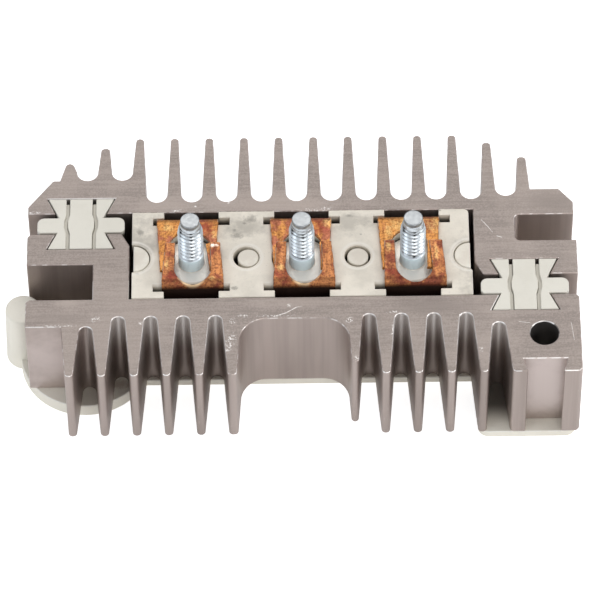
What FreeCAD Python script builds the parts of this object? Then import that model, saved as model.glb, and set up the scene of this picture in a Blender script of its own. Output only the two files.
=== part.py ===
# Alternator rectifier: two sawn heat sinks, insulating keys, terminal block, studs, straps and diodes.
# X runs along the sinks, Y across them towards the positive sink, Z up out of the sawn face.
# The origin is the foot of the mounting hole's axis, on the plane that the part rests on.
# Inside each piece X and Y are counted from the middle stud's station, midway between the sinks.
import FreeCAD, Part
import math
import os
import Sketcher

SIZES = {
    # both heat sinks
    "arm_length": 19.1,
    "sink_depth": 19.6,
    "sink_gap": 19.8,
    "arm_gap": 4.7,
    "nose_width": 1.5,
    "nose_height": 2.8,
    "corner_cut": 0.6,
    "tip_chamfer": 0.4,
    # positive heat sink
    "positive_span": 17.55,
    "positive_second_drop": 1.85,
    "positive_end_drop": 5.35,
    "positive_web": 2.5,
    "positive_left_web": 7.8,
    "positive_right_web": 3.15,
    "positive_left_end": 7.8,
    "positive_right_end": 9.55,
    "positive_tip_width": 1.45,
    "positive_root_width": 2.65,
    "positive_end_flank": 1.2,
    "left_tip_drop": 0.35,
    "left_first_flank": 4.1,
    "left_lip": 1.65,
    "left_shoulder_inset": 4.6,
    "right_shoulder": 4.6,
    "right_shoulder_inset": 2.9,
    "right_lip": 1.45,
    "right_setback": 0.3,
    "battery_slot_width": 6.0,
    "battery_slot_length": 11.4,
    "battery_slot_y": 5.55,
    "battery_slot_radius": 1.0,
    # ground heat sink
    "ground_span": 17.4,
    "ground_web": 4.05,
    "ground_end_web": 6.25,
    "ground_left_end": 11.2,
    "ground_right_end": 15.08,
    "ground_tip_width": 1.48,
    "ground_root_width": 3.48,
    "ground_end_flank": 0.9,
    "short_fin_cut": 2.6,
    "notch_depth": 12.35,
    "notch_height": 7.95,
    "arch_left_side": 4.43,
    "arch_width": 20.3,
    "arch_right_side": 3.65,
    "arch_flare": 0.5,
    "arch_web": 4.85,
    "arch_corner": 5.0,
    "mount_inset": 6.75,
    "mount_offset": 8.85,
    "mount_bore": 5.25,
    "shoe_mouth": 6.6,
    "shoe_undercut": 0.75,
    "shoe_depth": 2.85,
    # dovetail grooves and keys
    "key_shift": 0.45,
    "key_mouth": 9.6,
    "key_flare": 1.6,
    "key_slot_depth": 3.5,
    "key_side_fit": 0.25,
    "key_end_fit": 0.1,
    "key_wing_clear": 1.4,
    "key_wing_top": 1.4,
    "key_wing_fit": 0.35,
    "key_wing_round": 1.3,
    "key_wing_heel": 0.5,
    "wedge_half": 2.1,
    "wedge_bulge": 0.35,
    "wedge_bulge_half": 0.75,
    "wedge_bulge_ramp": 1.4,
    "seam_gap": 0.06,
    "seam_band": 0.65,
    "seam_band_depth": 0.6,
    "seam_notch": 0.75,
    "seam_notch_depth": 4.0,
    # terminal block
    "block_margin": 0.75,
    "block_fit": 0.05,
    "block_end_gap": 0.5,
    "block_rise": 0.2,
    "block_end_step": 0.4,
    "block_step_height": 5.5,
    "block_corner": 1.0,
    "station_pitch": 20.6,
    "terminal_shift": 0.8,
    "station_width": 10.2,
    "lip": 1.4,
    "leg_slot": 1.4,
    "leg_slot_width": 14.3,
    "slot_lead_in": 0.4,
    "pocket_floor": 2.8,
    "peg_hole": 4.9,
    "peg_hole_spread": 0.05,
    # studs
    "stud_diameter": 4.83,
    "stud_height": 13.15,
    "dog_diameter": 3.35,
    "dog_height": 1.65,
    "stud_chamfer": 0.45,
    "neck_diameter": 4.5,
    "neck_height": 3.15,
    "flange_wall": 0.95,
    "flange_fit": 0.3,
    "flange_thickness": 1.5,
    "flange_below_face": 1.3,
    "root_width": 4.4,
    "root_length": 6.0,
    # copper straps
    "strap_width": 11.5,
    "strap_taper": 0.65,
    "strap_gauge": 0.8,
    "bend_radius": 1.5,
    "positive_tab": 12.35,
    "ground_tab": 9.6,
    "positive_leg_fit": 0.25,
    "ground_leg_fit": 0.5,
    "positive_slot_length": 8.9,
    "ground_slot_length": 9.3,
    "strap_slot_mouth": 6.4,
    "strap_slot_width": 6.7,
    "strap_slot_depth": 1.3,
    "leg_stand": 2.3,
    "positive_strap_1_shift": -0.7,
    "positive_strap_2_shift": -0.15,
    "positive_strap_3_shift": -0.6,
    "ground_strap_1_shift": 0.3,
    "ground_strap_2_shift": 0.4,
    "ground_strap_3_shift": 0.45,
    # diodes
    "diode_width": 9.8,
    "diode_height": 9.6,
    "diode_chamfer": 0.4,
    # rear plate
    "plate_thickness": 1.7,
    "seat_height": 1.4,
    "plate_inset": 0.6,
    "plate_back": 12.1,
    "disc_radius": 12.2,
    "disc_inset": 10.35,
    "disc_y": 8.2,
    "foot_width": 18.2,
    "foot_corner": 2.0,
    "mount_pad": 11.0,
    "post_offset": 1.0,
    "post_radius": 3.75,
    "post_top_radius": 3.3,
    "post_below_face": 8.3,
    "peg_diameter": 3.9,
    "peg_draw": 0.1,
    "peg_shift": 0.2,
    "peg_rise": 0.15,
    "half_peg_radius": 2.95,
    "half_peg_fit": 0.2,
    "half_peg_inset": 0.3,
}
POSITIVE_FINS = 14
GROUND_LEFT_FINS = 6
GROUND_RIGHT_FINS = 5
STATIONS = 3


class Size:
    # A length that carries its value and the sheet formula that gives it.
    def __init__(self, value, text):
        self.value = value
        self.text = text

    def __add__(self, other):
        return combine(self, "+", other, self.value + number(other))

    def __sub__(self, other):
        return combine(self, "-", other, self.value - number(other))

    def __mul__(self, other):
        return combine(self, "*", other, self.value * number(other))

    def __truediv__(self, other):
        return combine(self, "/", other, self.value / number(other))

    def __neg__(self):
        return Size(-self.value, f"(-1 * {self.text})")


def number(item):
    return item.value if isinstance(item, Size) else float(item)


def combine(left, sign, right, value):
    text = right.text if isinstance(right, Size) else str(right)
    return Size(value, f"({left.text} {sign} {text})")


doc = FreeCAD.newDocument("Rectifier")
sheet = doc.addObject("Spreadsheet::Sheet", "Sizes")
for row, (name, value) in enumerate(SIZES.items(), start=1):
    sheet.set(f"A{row}", name)
    sheet.set(f"B{row}", str(value))
    sheet.setAlias(f"B{row}", name)
doc.recompute()

size = {name: Size(value, f"Sizes.{name}") for name, value in SIZES.items()}
zero = Size(0.0, "0")

# places that several pieces share
half_gap = size["sink_gap"] / 2
arm_edge = half_gap - size["arm_gap"]
sink_base = size["seat_height"] + size["plate_thickness"]
face = sink_base + size["sink_depth"]
terminal_y = -size["terminal_shift"]
station_pitch = size["station_pitch"]
block_end = station_pitch * STATIONS / 2 + size["block_margin"]
arm_wall = block_end + size["block_end_gap"]
half_length = arm_wall + size["arm_length"]
block_half = half_gap - size["block_fit"]
lip_inside = block_half - size["lip"]
key_y = (half_gap + arm_edge) / 2
block_top = face + size["block_rise"]
flange_top = face - size["flange_below_face"]
battery_y = size["battery_slot_y"]
battery_end = half_length - size["battery_slot_length"]
mount_x = half_length - size["mount_inset"]
mount_y = -half_gap - size["mount_offset"]
half_peg_x = block_end - size["half_peg_inset"]
key_x = half_length - size["arm_length"] / 2 - size["key_shift"]
flange_radius = lip_inside - size["leg_slot"] - size["terminal_shift"] - size["flange_wall"]
leg_low = sink_base + size["pocket_floor"] + size["leg_stand"]
stations = range(STATIONS)


def bind(item, name, length):
    item.setExpression(name, length.text)


def make_body(name, x=zero, y=zero, z=zero):
    # A body placed by its distance from the middle station, with the mounting hole at the origin.
    body = doc.addObject("PartDesign::Body", name)
    body.Label = name
    bind(body, ".Placement.Base.x", x - mount_x)
    bind(body, ".Placement.Base.y", y - mount_y)
    bind(body, ".Placement.Base.z", z)
    doc.recompute()
    return body


def plane(body, role):
    return next(part for part in body.Origin.OriginFeatures if part.Role == role)


def new_sketch(body, name, role="XY_Plane", lift=None):
    sketch = body.newObject("Sketcher::SketchObject", name)
    sketch.AttachmentSupport = [(plane(body, role), "")]
    sketch.MapMode = "FlatFace"
    if lift is not None:
        bind(sketch, ".AttachmentOffset.Base.z", lift)
    return sketch


def pin_point(sketch, edge, end, point):
    for kind, length in (("DistanceX", point[0]), ("DistanceY", point[1])):
        index = sketch.addConstraint(Sketcher.Constraint(kind, -1, 1, edge, end, length.value))
        sketch.setExpression(f"Constraints[{index}]", length.text)


def vector(point):
    return FreeCAD.Vector(point[0].value, point[1].value, 0)


def draw_outline(sketch, points):
    # A closed outline of straight edges, each corner pinned by its own two sizes.
    count = len(points)
    for index in range(count):
        start, end = points[index], points[(index + 1) % count]
        sketch.addGeometry(Part.LineSegment(vector(start), vector(end)))
    for index in range(count):
        sketch.addConstraint(Sketcher.Constraint("Coincident", index, 2, (index + 1) % count, 1))
        pin_point(sketch, index, 1, points[index])


def draw_gap(sketch, centre_x, root_y, radius, mouth_y, left_half, right_half):
    # The space between two fins: a half round root and two flanks that open towards the mouth.
    way = 1 if mouth_y.value > root_y.value else -1
    centre_y = root_y + radius * way
    left, right = centre_x - radius, centre_x + radius
    corners = [(centre_x - left_half, mouth_y), (centre_x + right_half, mouth_y)]
    first, last = (180, 360) if way > 0 else (0, 180)
    circle = Part.Circle(vector((centre_x, centre_y)), FreeCAD.Vector(0, 0, 1), radius.value)
    root = sketch.addGeometry(Part.ArcOfCircle(circle, math.radians(first), math.radians(last)))
    near, far = (left, right) if way > 0 else (right, left)
    near_corner, far_corner = corners if way > 0 else corners[::-1]
    far_flank = sketch.addGeometry(Part.LineSegment(vector((far, centre_y)), vector(far_corner)))
    mouth = sketch.addGeometry(Part.LineSegment(vector(far_corner), vector(near_corner)))
    near_flank = sketch.addGeometry(Part.LineSegment(vector(near_corner), vector((near, centre_y))))
    round_trip = (root, far_flank, mouth, near_flank, root)
    for edge, following in zip(round_trip, round_trip[1:]):
        sketch.addConstraint(Sketcher.Constraint("Coincident", edge, 2, following, 1))
    pin_point(sketch, root, 3, (centre_x, centre_y))
    index = sketch.addConstraint(Sketcher.Constraint("Radius", root, radius.value))
    sketch.setExpression(f"Constraints[{index}]", radius.text)
    sketch.addConstraint(Sketcher.Constraint("Horizontal", root, 3, root, 1))
    sketch.addConstraint(Sketcher.Constraint("Horizontal", root, 3, root, 2))
    pin_point(sketch, mouth, 1, far_corner)
    pin_point(sketch, mouth, 2, near_corner)


def draw_circle(sketch, centre, diameter):
    circle = Part.Circle(vector(centre), FreeCAD.Vector(0, 0, 1), diameter.value / 2)
    edge = sketch.addGeometry(circle)
    pin_point(sketch, edge, 3, centre)
    index = sketch.addConstraint(Sketcher.Constraint("Diameter", edge, diameter.value))
    sketch.setExpression(f"Constraints[{index}]", diameter.text)


def draw_square(sketch, centre, width):
    half = width / 2
    corners = ((-1, -1), (1, -1), (1, 1), (-1, 1))
    draw_outline(sketch, [(centre[0] + half * x, centre[1] + half * y) for x, y in corners])


def pad(body, sketch, name, length):
    feature = body.newObject("PartDesign::Pad", name)
    feature.Profile = sketch
    bind(feature, "Length", length)
    doc.recompute()
    return feature


def pocket(body, sketch, name, length=None, reverse=False):
    # Cuts upwards from the sketch unless reverse is set, and fails loudly where it cuts nothing.
    before = body.Shape.Volume
    feature = body.newObject("PartDesign::Pocket", name)
    feature.Profile = sketch
    feature.Reversed = not reverse
    if length is None:
        feature.Type = "ThroughAll"
    else:
        bind(feature, "Length", length)
    doc.recompute()
    if body.Shape.Volume > before - 1e-3:
        raise RuntimeError(f"{name} cuts nothing")
    return feature


def repeat(body, features, name, count, pitch):
    pattern = body.newObject("PartDesign::LinearPattern", name)
    pattern.Originals = features
    pattern.Direction = (next(a for a in body.Origin.OriginFeatures if a.Role == "X_Axis"), [""])
    pattern.Mode = "Spacing"
    bind(pattern, "Offset", pitch)
    pattern.Occurrences = count
    body.Tip = pattern
    doc.recompute()
    return pattern


def round_edges(body, name, radius, chosen, kind="PartDesign::Fillet"):
    # Rounds or chamfers the edges whose middle passes the test.
    edges = [
        f"Edge{index}"
        for index, edge in enumerate(body.Shape.Edges, start=1)
        if chosen(edge, body.Placement.inverse().multVec(edge.CenterOfMass))
    ]
    if not edges:
        raise RuntimeError(f"{name} finds no edge")
    base = body.Tip
    feature = body.newObject(kind, name)
    feature.Base = (base, edges)
    bind(feature, "Radius" if kind.endswith("Fillet") else "Size", radius)
    body.Tip = feature
    doc.recompute()
    return feature


def upright(edge):
    return len(edge.Vertexes) == 2 and edge.BoundBox.XLength < 1e-4 and edge.BoundBox.YLength < 1e-4


def near(value, length, slack=0.02):
    return abs(value - length.value) < slack


def cut_key_groove(body, name, centre_x, edge_y, way):
    # The dovetail groove that opens in an arm's edge and takes one end of a key.
    mouth = size["key_mouth"] / 2
    wide = mouth + size["key_flare"]
    floor = edge_y + size["key_slot_depth"] * way
    past = edge_y - size["corner_cut"] * way
    sketch = new_sketch(body, name + "Sketch")
    draw_outline(sketch, [
        (centre_x - mouth, past),
        (centre_x + mouth, past),
        (centre_x + mouth, edge_y),
        (centre_x + wide, floor),
        (centre_x - wide, floor),
        (centre_x - mouth, edge_y),
    ])
    pocket(body, sketch, name)


def positive_heat_sink():
    body = make_body("positive_heat_sink", z=sink_base)
    half = half_length
    first = -half + size["positive_left_end"]
    last = half - size["positive_right_end"]
    pitch = (last - first) / (POSITIVE_FINS - 1)
    tip = half_gap + size["positive_span"]
    second_tip = tip - size["positive_second_drop"]
    end_tip = tip - size["positive_end_drop"]
    left_second_tip = second_tip - size["left_tip_drop"]
    left_end_tip = end_tip - size["left_tip_drop"]
    left_root = half_gap + size["positive_left_web"]
    shoulder = half_gap + size["right_shoulder"]
    half_tip = size["positive_tip_width"] / 2
    flank = size["positive_end_flank"]
    right_edge = half - size["right_setback"]
    between = pitch / 2
    blank = new_sketch(body, "PositiveOutline")
    draw_outline(blank, [
        (-half, half_gap),
        (arm_wall, half_gap),
        (arm_wall, -arm_edge + size["nose_height"]),
        (arm_wall + size["nose_width"], -arm_edge),
        (half, -arm_edge),
        (half, battery_y),
        (right_edge, battery_y),
        (right_edge, half_gap + size["right_lip"]),
        (half - size["right_shoulder_inset"], shoulder),
        (last + half_tip + flank / 2, shoulder),
        (last + half_tip, end_tip),
        (last - between, end_tip),
        (last - between, second_tip),
        (last - between - pitch, second_tip),
        (last - between - pitch, tip),
        (first + between + pitch, tip),
        (first + between + pitch, left_second_tip),
        (first + between, left_second_tip),
        (first + between, left_end_tip),
        (first - half_tip, left_end_tip),
        (first - half_tip - flank, left_root),
        (-half + size["left_shoulder_inset"], left_root),
        (-half, half_gap + size["left_lip"]),
    ])
    pad(body, blank, "PositiveBlank", size["sink_depth"])
    radius = (pitch - size["positive_root_width"]) / 2
    mouth_half = (pitch - size["positive_tip_width"]) / 2
    root = half_gap + size["positive_web"]
    sketch = new_sketch(body, "PositiveGap")
    draw_gap(sketch, first + between + pitch * 2, root, radius, tip, mouth_half, mouth_half)
    cut = pocket(body, sketch, "PositiveGapCut")
    repeat(body, [cut], "PositiveGaps", POSITIVE_FINS - 4, pitch)
    right_root = half_gap + size["positive_right_web"]
    end_gaps = (
        ("LeftEndGap", first + between, left_root, left_second_tip, size["left_first_flank"]),
        ("LeftSecondGap", first + between + pitch, left_root, tip, mouth_half),
        ("RightEndGap", last - between, right_root, second_tip, mouth_half),
    )
    for name, centre, bottom, mouth, left_half in end_gaps:
        sketch = new_sketch(body, name)
        draw_gap(sketch, centre, bottom, radius, mouth, left_half, mouth_half)
        pocket(body, sketch, name + "Cut")
    cut_key_groove(body, "PositiveLeftGroove", -key_x, half_gap, 1)
    cut_key_groove(body, "PositiveRightGroove", key_x, -arm_edge, 1)
    low = battery_y - size["battery_slot_width"] / 2
    high = battery_y + size["battery_slot_width"] / 2
    past = half + size["corner_cut"]
    sketch = new_sketch(body, "BatterySlot")
    draw_outline(sketch, [(battery_end, low), (past, low), (past, high), (battery_end, high)])
    pocket(body, sketch, "BatterySlotCut")
    round_edges(
        body, "BatterySlotCorners", size["battery_slot_radius"],
        lambda edge, middle: upright(edge) and near(middle.x, battery_end),
    )
    tips = (tip, second_tip, end_tip, left_second_tip, left_end_tip)
    round_edges(
        body, "PositiveTips", size["tip_chamfer"],
        lambda edge, middle: upright(edge) and any(near(middle.y, level) for level in tips),
        "PartDesign::Chamfer",
    )
    return body


def ground_heat_sink():
    body = make_body("ground_heat_sink", z=sink_base)
    half = half_length
    cut_back = size["corner_cut"]
    left = -half + size["ground_left_end"]
    last_right = half - size["ground_right_end"]
    arch_span = size["arch_left_side"] + size["arch_width"] + size["arch_right_side"]
    pitch = (last_right - left - arch_span) / (GROUND_LEFT_FINS + GROUND_RIGHT_FINS - 3)
    right = last_right - pitch * (GROUND_RIGHT_FINS - 1)
    arch_right = right - size["arch_right_side"]
    tip = -half_gap - size["ground_span"]
    end_root = -half_gap - size["ground_end_web"]
    radius = (pitch - size["ground_root_width"]) / 2
    mouth_half = (pitch - size["ground_tip_width"]) / 2
    end_tip = left - mouth_half - size["ground_tip_width"]
    blank = new_sketch(body, "GroundOutline")
    draw_outline(blank, [
        (-half + cut_back, arm_edge),
        (-arm_wall - size["nose_width"], arm_edge),
        (-arm_wall, arm_edge - size["nose_height"]),
        (-arm_wall, -half_gap),
        (half - cut_back, -half_gap),
        (half, -half_gap - cut_back),
        (half, tip + cut_back),
        (half - cut_back, tip),
        (end_tip, tip),
        (end_tip - size["ground_end_flank"], end_root),
        (-half, end_root),
        (-half, -half_gap - cut_back),
        (-half + cut_back, -half_gap),
        (-half, -half_gap + cut_back),
        (-half, arm_edge - cut_back),
    ])
    pad(body, blank, "GroundBlank", size["sink_depth"])
    root = -half_gap - size["ground_web"]
    runs = (
        ("GroundLeftGap", left + pitch, GROUND_LEFT_FINS - 2, left),
        ("GroundRightGap", right, GROUND_RIGHT_FINS - 1, last_right),
    )
    for name, start, count, end_centre in runs:
        sketch = new_sketch(body, name)
        draw_gap(sketch, start, root, radius, tip, mouth_half, mouth_half)
        cut = pocket(body, sketch, name + "Cut")
        repeat(body, [cut], name + "s", count, pitch)
        sketch = new_sketch(body, name + "End")
        draw_gap(sketch, end_centre, end_root, radius, tip, mouth_half, mouth_half)
        pocket(body, sketch, name + "EndCut")
    cut_arch(body, tip, arch_right)
    short_tip = tip + size["short_fin_cut"]
    arch_side = arch_right - size["arch_flare"]
    sketch = new_sketch(body, "ShortFin")
    draw_outline(sketch, [
        (arch_side, tip - cut_back),
        (right, tip - cut_back),
        (right, short_tip),
        (arch_side, short_tip),
    ])
    pocket(body, sketch, "ShortFinCut")
    notch_end = -half + size["notch_depth"]
    notch_top = -half_gap + size["notch_height"]
    sketch = new_sketch(body, "Notch")
    draw_outline(sketch, [
        (-half - cut_back, -half_gap),
        (notch_end, -half_gap),
        (notch_end, notch_top),
        (-half - cut_back, notch_top),
    ])
    pocket(body, sketch, "NotchCut")
    cut_key_groove(body, "GroundLeftGroove", -key_x, arm_edge, -1)
    cut_key_groove(body, "GroundRightGroove", key_x, -half_gap, -1)
    mouth = size["shoe_mouth"] / 2
    wide = mouth + size["shoe_undercut"]
    floor = tip + size["shoe_depth"]
    sketch = new_sketch(body, "ShoeGroove")
    draw_outline(sketch, [
        (mount_x - mouth, tip),
        (mount_x + mouth, tip),
        (mount_x + wide, floor),
        (mount_x - wide, floor),
    ])
    pocket(body, sketch, "ShoeGrooveCut")
    sketch = new_sketch(body, "MountHole")
    draw_circle(sketch, (mount_x, mount_y), size["mount_bore"])
    pocket(body, sketch, "MountHoleCut")
    tips = (tip, short_tip)
    block_left = last_right + mouth_half
    block_corner = block_left + size["corner_cut"]
    round_edges(
        body, "GroundTips", size["tip_chamfer"],
        lambda edge, middle: upright(edge) and any(near(middle.y, level) for level in tips)
        and middle.x < block_corner.value,
        "PartDesign::Chamfer",
    )
    return body


def cut_arch(body, tip, right):
    # The open arch between the two groups of fins, with large round corners under its roof.
    corner = size["arch_corner"]
    roof = -half_gap - size["arch_web"]
    left = right - size["arch_width"]
    flare = size["arch_flare"]
    quarter = math.pi / 2
    axis = FreeCAD.Vector(0, 0, 1)
    left_centre = (left + corner, roof - corner)
    right_centre = (right - corner, roof - corner)
    sketch = new_sketch(body, "Arch")
    left_foot, right_foot = (left - flare, tip), (right + flare, tip)
    spring = roof - corner
    left_wall = sketch.addGeometry(Part.LineSegment(vector(left_foot), vector((left, spring))))
    circle = Part.Circle(vector(left_centre), axis, corner.value)
    left_arc = sketch.addGeometry(Part.ArcOfCircle(circle, quarter, 2 * quarter))
    roof_ends = (left + corner, roof), (right - corner, roof)
    crown = sketch.addGeometry(Part.LineSegment(*map(vector, roof_ends)))
    circle = Part.Circle(vector(right_centre), axis, corner.value)
    right_arc = sketch.addGeometry(Part.ArcOfCircle(circle, 0, quarter))
    right_wall = sketch.addGeometry(Part.LineSegment(vector((right, spring)), vector(right_foot)))
    mouth = sketch.addGeometry(Part.LineSegment(vector(right_foot), vector(left_foot)))
    joined = (
        (left_wall, 2, left_arc, 2),
        (left_arc, 1, crown, 1),
        (crown, 2, right_arc, 2),
        (right_arc, 1, right_wall, 1),
        (right_wall, 2, mouth, 1),
        (mouth, 2, left_wall, 1),
    )
    for edge, end, other, start in joined:
        sketch.addConstraint(Sketcher.Constraint("Coincident", edge, end, other, start))
    corners = ((left_arc, left_centre, 2, 1), (right_arc, right_centre, 1, 2))
    for arc, centre, level_end, upright_end in corners:
        pin_point(sketch, arc, 3, centre)
        index = sketch.addConstraint(Sketcher.Constraint("Radius", arc, corner.value))
        sketch.setExpression(f"Constraints[{index}]", corner.text)
        sketch.addConstraint(Sketcher.Constraint("Horizontal", arc, 3, arc, level_end))
        sketch.addConstraint(Sketcher.Constraint("Vertical", arc, 3, arc, upright_end))
    pin_point(sketch, mouth, 1, right_foot)
    pin_point(sketch, mouth, 2, left_foot)
    pocket(body, sketch, "ArchCut")


def seam_points(centre_x, centre_y, side, offset):
    # The wavy line between a key's wedge and its outer half, from the far end to the near end.
    end = key_half_height()
    straight = size["wedge_half"] + offset
    bulged = straight + size["wedge_bulge"]
    bulge = size["wedge_bulge_half"]
    ramp = bulge + size["wedge_bulge_ramp"]
    places = (
        (straight, end),
        (straight, ramp),
        (bulged, bulge),
        (bulged, -bulge),
        (straight, -ramp),
        (straight, -end),
    )
    return [(centre_x + across * side, centre_y + along) for across, along in places]


def key_half_height():
    return size["arm_gap"] / 2 + size["key_slot_depth"] - size["key_end_fit"]


def key_flank(level):
    # How far a key's flank stands from its middle line at a level, beside the groove's flank.
    past_arm = level - size["arm_gap"] / 2
    at_arm = size["key_mouth"] / 2 - size["key_side_fit"]
    return at_arm + past_arm * size["key_flare"] / size["key_slot_depth"]


def key_half(name, centre_x, centre_y, side):
    # One outer half of a dovetail key, with its wing and the band beside the wedge.
    body = make_body(name, z=sink_base)
    end = key_half_height()
    wing = size["arm_length"] / 2 - size["key_wing_clear"]
    wing_top = size["key_wing_top"]
    wing_drop = size["arm_gap"] / 2 - size["key_wing_fit"]
    outer = (
        (key_flank(end), -end),
        (key_flank(wing_drop), -wing_drop),
        (wing, -wing_drop),
        (wing, wing_top),
        (key_flank(wing_top), wing_top),
        (key_flank(end), end),
    )
    inner = seam_points(centre_x, centre_y, side, size["seam_gap"])
    sketch = new_sketch(body, "Outline")
    draw_outline(sketch, inner + [(centre_x + x * side, centre_y + y) for x, y in outer])
    pad(body, sketch, "Half", size["sink_depth"])
    band = seam_points(centre_x, centre_y, side, size["seam_gap"] + size["seam_band"])
    sketch = new_sketch(body, "Band", lift=size["sink_depth"])
    draw_outline(sketch, inner + band[::-1])
    pocket(body, sketch, "BandCut", size["seam_band_depth"], reverse=True)
    near_x = centre_x + (size["wedge_half"] + size["seam_gap"]) * side
    far_x = near_x + size["seam_band"] * side
    low = centre_y + end - size["seam_notch"]
    sketch = new_sketch(body, "Notch", lift=size["sink_depth"])
    draw_outline(sketch, [
        (near_x, low),
        (far_x, low),
        (far_x, centre_y + end),
        (near_x, centre_y + end),
    ])
    pocket(body, sketch, "NotchCut", size["seam_notch_depth"], reverse=True)
    wing_x = centre_x + wing * side
    corners = (
        ("WingTop", centre_y + wing_top, size["key_wing_round"], "PartDesign::Fillet"),
        ("WingHeel", centre_y - wing_drop, size["key_wing_heel"], "PartDesign::Chamfer"),
    )
    for corner, level, amount, kind in corners:
        round_edges(
            body, corner, amount,
            lambda edge, middle: upright(edge) and near(middle.x, wing_x) and near(middle.y, level),
            kind,
        )
    return body


def key_wedge(name, centre_x, centre_y):
    # The wedge that spreads the two outer halves of a key apart.
    body = make_body(name, z=sink_base)
    sketch = new_sketch(body, "Outline")
    right = seam_points(centre_x, centre_y, 1, zero)
    left = seam_points(centre_x, centre_y, -1, zero)
    draw_outline(sketch, right + left[::-1])
    pad(body, sketch, "Wedge", size["sink_depth"])
    return body


def terminal_block():
    body = make_body("terminal_block", z=sink_base)
    end = block_end
    step_y = -block_half + size["block_step_height"]
    height = size["sink_depth"] + size["block_rise"]
    pocket_depth = height - size["pocket_floor"]
    sketch = new_sketch(body, "BlockOutline")
    draw_outline(sketch, [
        (-end, -block_half),
        (end, -block_half),
        (end, step_y),
        (end - size["block_end_step"], step_y + size["block_end_step"]),
        (end - size["block_end_step"], block_half),
        (-end, block_half),
    ])
    pad(body, sketch, "Block", height)
    first = -station_pitch
    narrow = size["station_width"] / 2
    wide = size["leg_slot_width"] / 2
    back = lip_inside - size["leg_slot"]
    cuts = []
    for name, way in (("PositivePocket", 1), ("GroundPocket", -1)):
        sketch = new_sketch(body, name, lift=height)
        draw_outline(sketch, [
            (first - narrow, block_half * way),
            (first - narrow, lip_inside * way),
            (first - wide, lip_inside * way),
            (first - wide, back * way),
            (first + wide, back * way),
            (first + wide, lip_inside * way),
            (first + narrow, lip_inside * way),
            (first + narrow, block_half * way),
        ])
        cuts.append(pocket(body, sketch, name + "Cut", pocket_depth, reverse=True))
    seat_depth = size["block_rise"] + size["flange_below_face"] + size["flange_thickness"]
    sketch = new_sketch(body, "FlangeRecess", lift=height)
    draw_circle(sketch, (first, terminal_y), (flange_radius + size["flange_fit"]) * 2)
    cuts.append(pocket(body, sketch, "FlangeRecessCut", seat_depth, reverse=True))
    sketch = new_sketch(body, "RootHole", lift=height)
    draw_square(sketch, (first, terminal_y), size["root_width"])
    cuts.append(pocket(body, sketch, "RootHoleCut", seat_depth + size["root_length"], reverse=True))
    repeat(body, cuts, "Stations", STATIONS, station_pitch)
    sketch = new_sketch(body, "PegHoles")
    hole_x = station_pitch / 2 + size["peg_hole_spread"]
    draw_circle(sketch, (-hole_x, terminal_y), size["peg_hole"])
    draw_circle(sketch, (hole_x, terminal_y), size["peg_hole"])
    recess = (size["half_peg_radius"] + size["half_peg_fit"]) * 2
    draw_circle(sketch, (-half_peg_x, terminal_y), recess)
    draw_circle(sketch, (half_peg_x, terminal_y), recess)
    pocket(body, sketch, "PegHolesCut")
    round_edges(
        body, "SlotLeadIn", size["slot_lead_in"],
        lambda edge, middle: near(abs(middle.y), back) and near(middle.z, height),
        "PartDesign::Chamfer",
    )
    corner_x = end - size["block_end_step"]
    round_edges(
        body, "BlockCorner", size["block_corner"],
        lambda edge, middle: upright(edge) and near(middle.x, corner_x) and near(middle.y, block_half),
    )
    return body


def rear_plate():
    body = make_body("rear_plate")
    half = half_length - size["plate_inset"]
    front = -half_gap - size["arch_web"]
    back = size["plate_back"]
    foot_front = -half_gap - size["ground_span"]
    foot_left = half - size["foot_width"]
    sketch = new_sketch(body, "PlateOutline", lift=size["seat_height"])
    draw_outline(sketch, [
        (-half, front),
        (foot_left, front),
        (foot_left, foot_front),
        (half, foot_front),
        (half, back),
        (-half, back),
    ])
    pad(body, sketch, "Plate", size["plate_thickness"])
    round_edges(
        body, "FootCorners", size["foot_corner"],
        lambda edge, middle: upright(edge) and near(middle.y, foot_front),
    )
    sketch = new_sketch(body, "Disc")
    draw_circle(sketch, (-half_length + size["disc_inset"], -size["disc_y"]), size["disc_radius"] * 2)
    pad(body, sketch, "DiscPad", sink_base)
    sketch = new_sketch(body, "Pads")
    draw_circle(sketch, (mount_x, mount_y), size["mount_pad"])
    draw_circle(sketch, (mount_x, battery_y), size["mount_pad"])
    pad(body, sketch, "SeatPads", sink_base)
    raise_post(body)
    raise_pegs(body)
    sketch = new_sketch(body, "PlateMountHole")
    draw_circle(sketch, (mount_x, mount_y), size["mount_bore"])
    pocket(body, sketch, "PlateMountHoleCut")
    low = battery_y - size["battery_slot_width"] / 2
    high = battery_y + size["battery_slot_width"] / 2
    past = half_length + size["corner_cut"]
    sketch = new_sketch(body, "PlateBatterySlot")
    draw_outline(sketch, [(battery_end, low), (past, low), (past, high), (battery_end, high)])
    pocket(body, sketch, "PlateBatterySlotCut")
    return body


def raise_post(body):
    # The round post that stands outside the notch, drawn in a little towards its top.
    post_x = -half_length - size["post_offset"]
    post_y = -half_gap + size["notch_height"] / 2
    top = face - size["post_below_face"]
    wide = size["post_radius"]
    narrow = size["post_top_radius"]
    sketch = new_sketch(body, "PostProfile", "XZ_Plane")
    draw_outline(sketch, [
        (post_x, top),
        (post_x, zero),
        (post_x - wide, zero),
        (post_x - narrow, top),
    ])
    bind(sketch, ".AttachmentOffset.Base.z", -post_y)
    post = body.newObject("PartDesign::Revolution", "Post")
    post.Profile = sketch
    post.ReferenceAxis = (sketch, ["Edge1"])
    post.Angle = 360
    doc.recompute()


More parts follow.
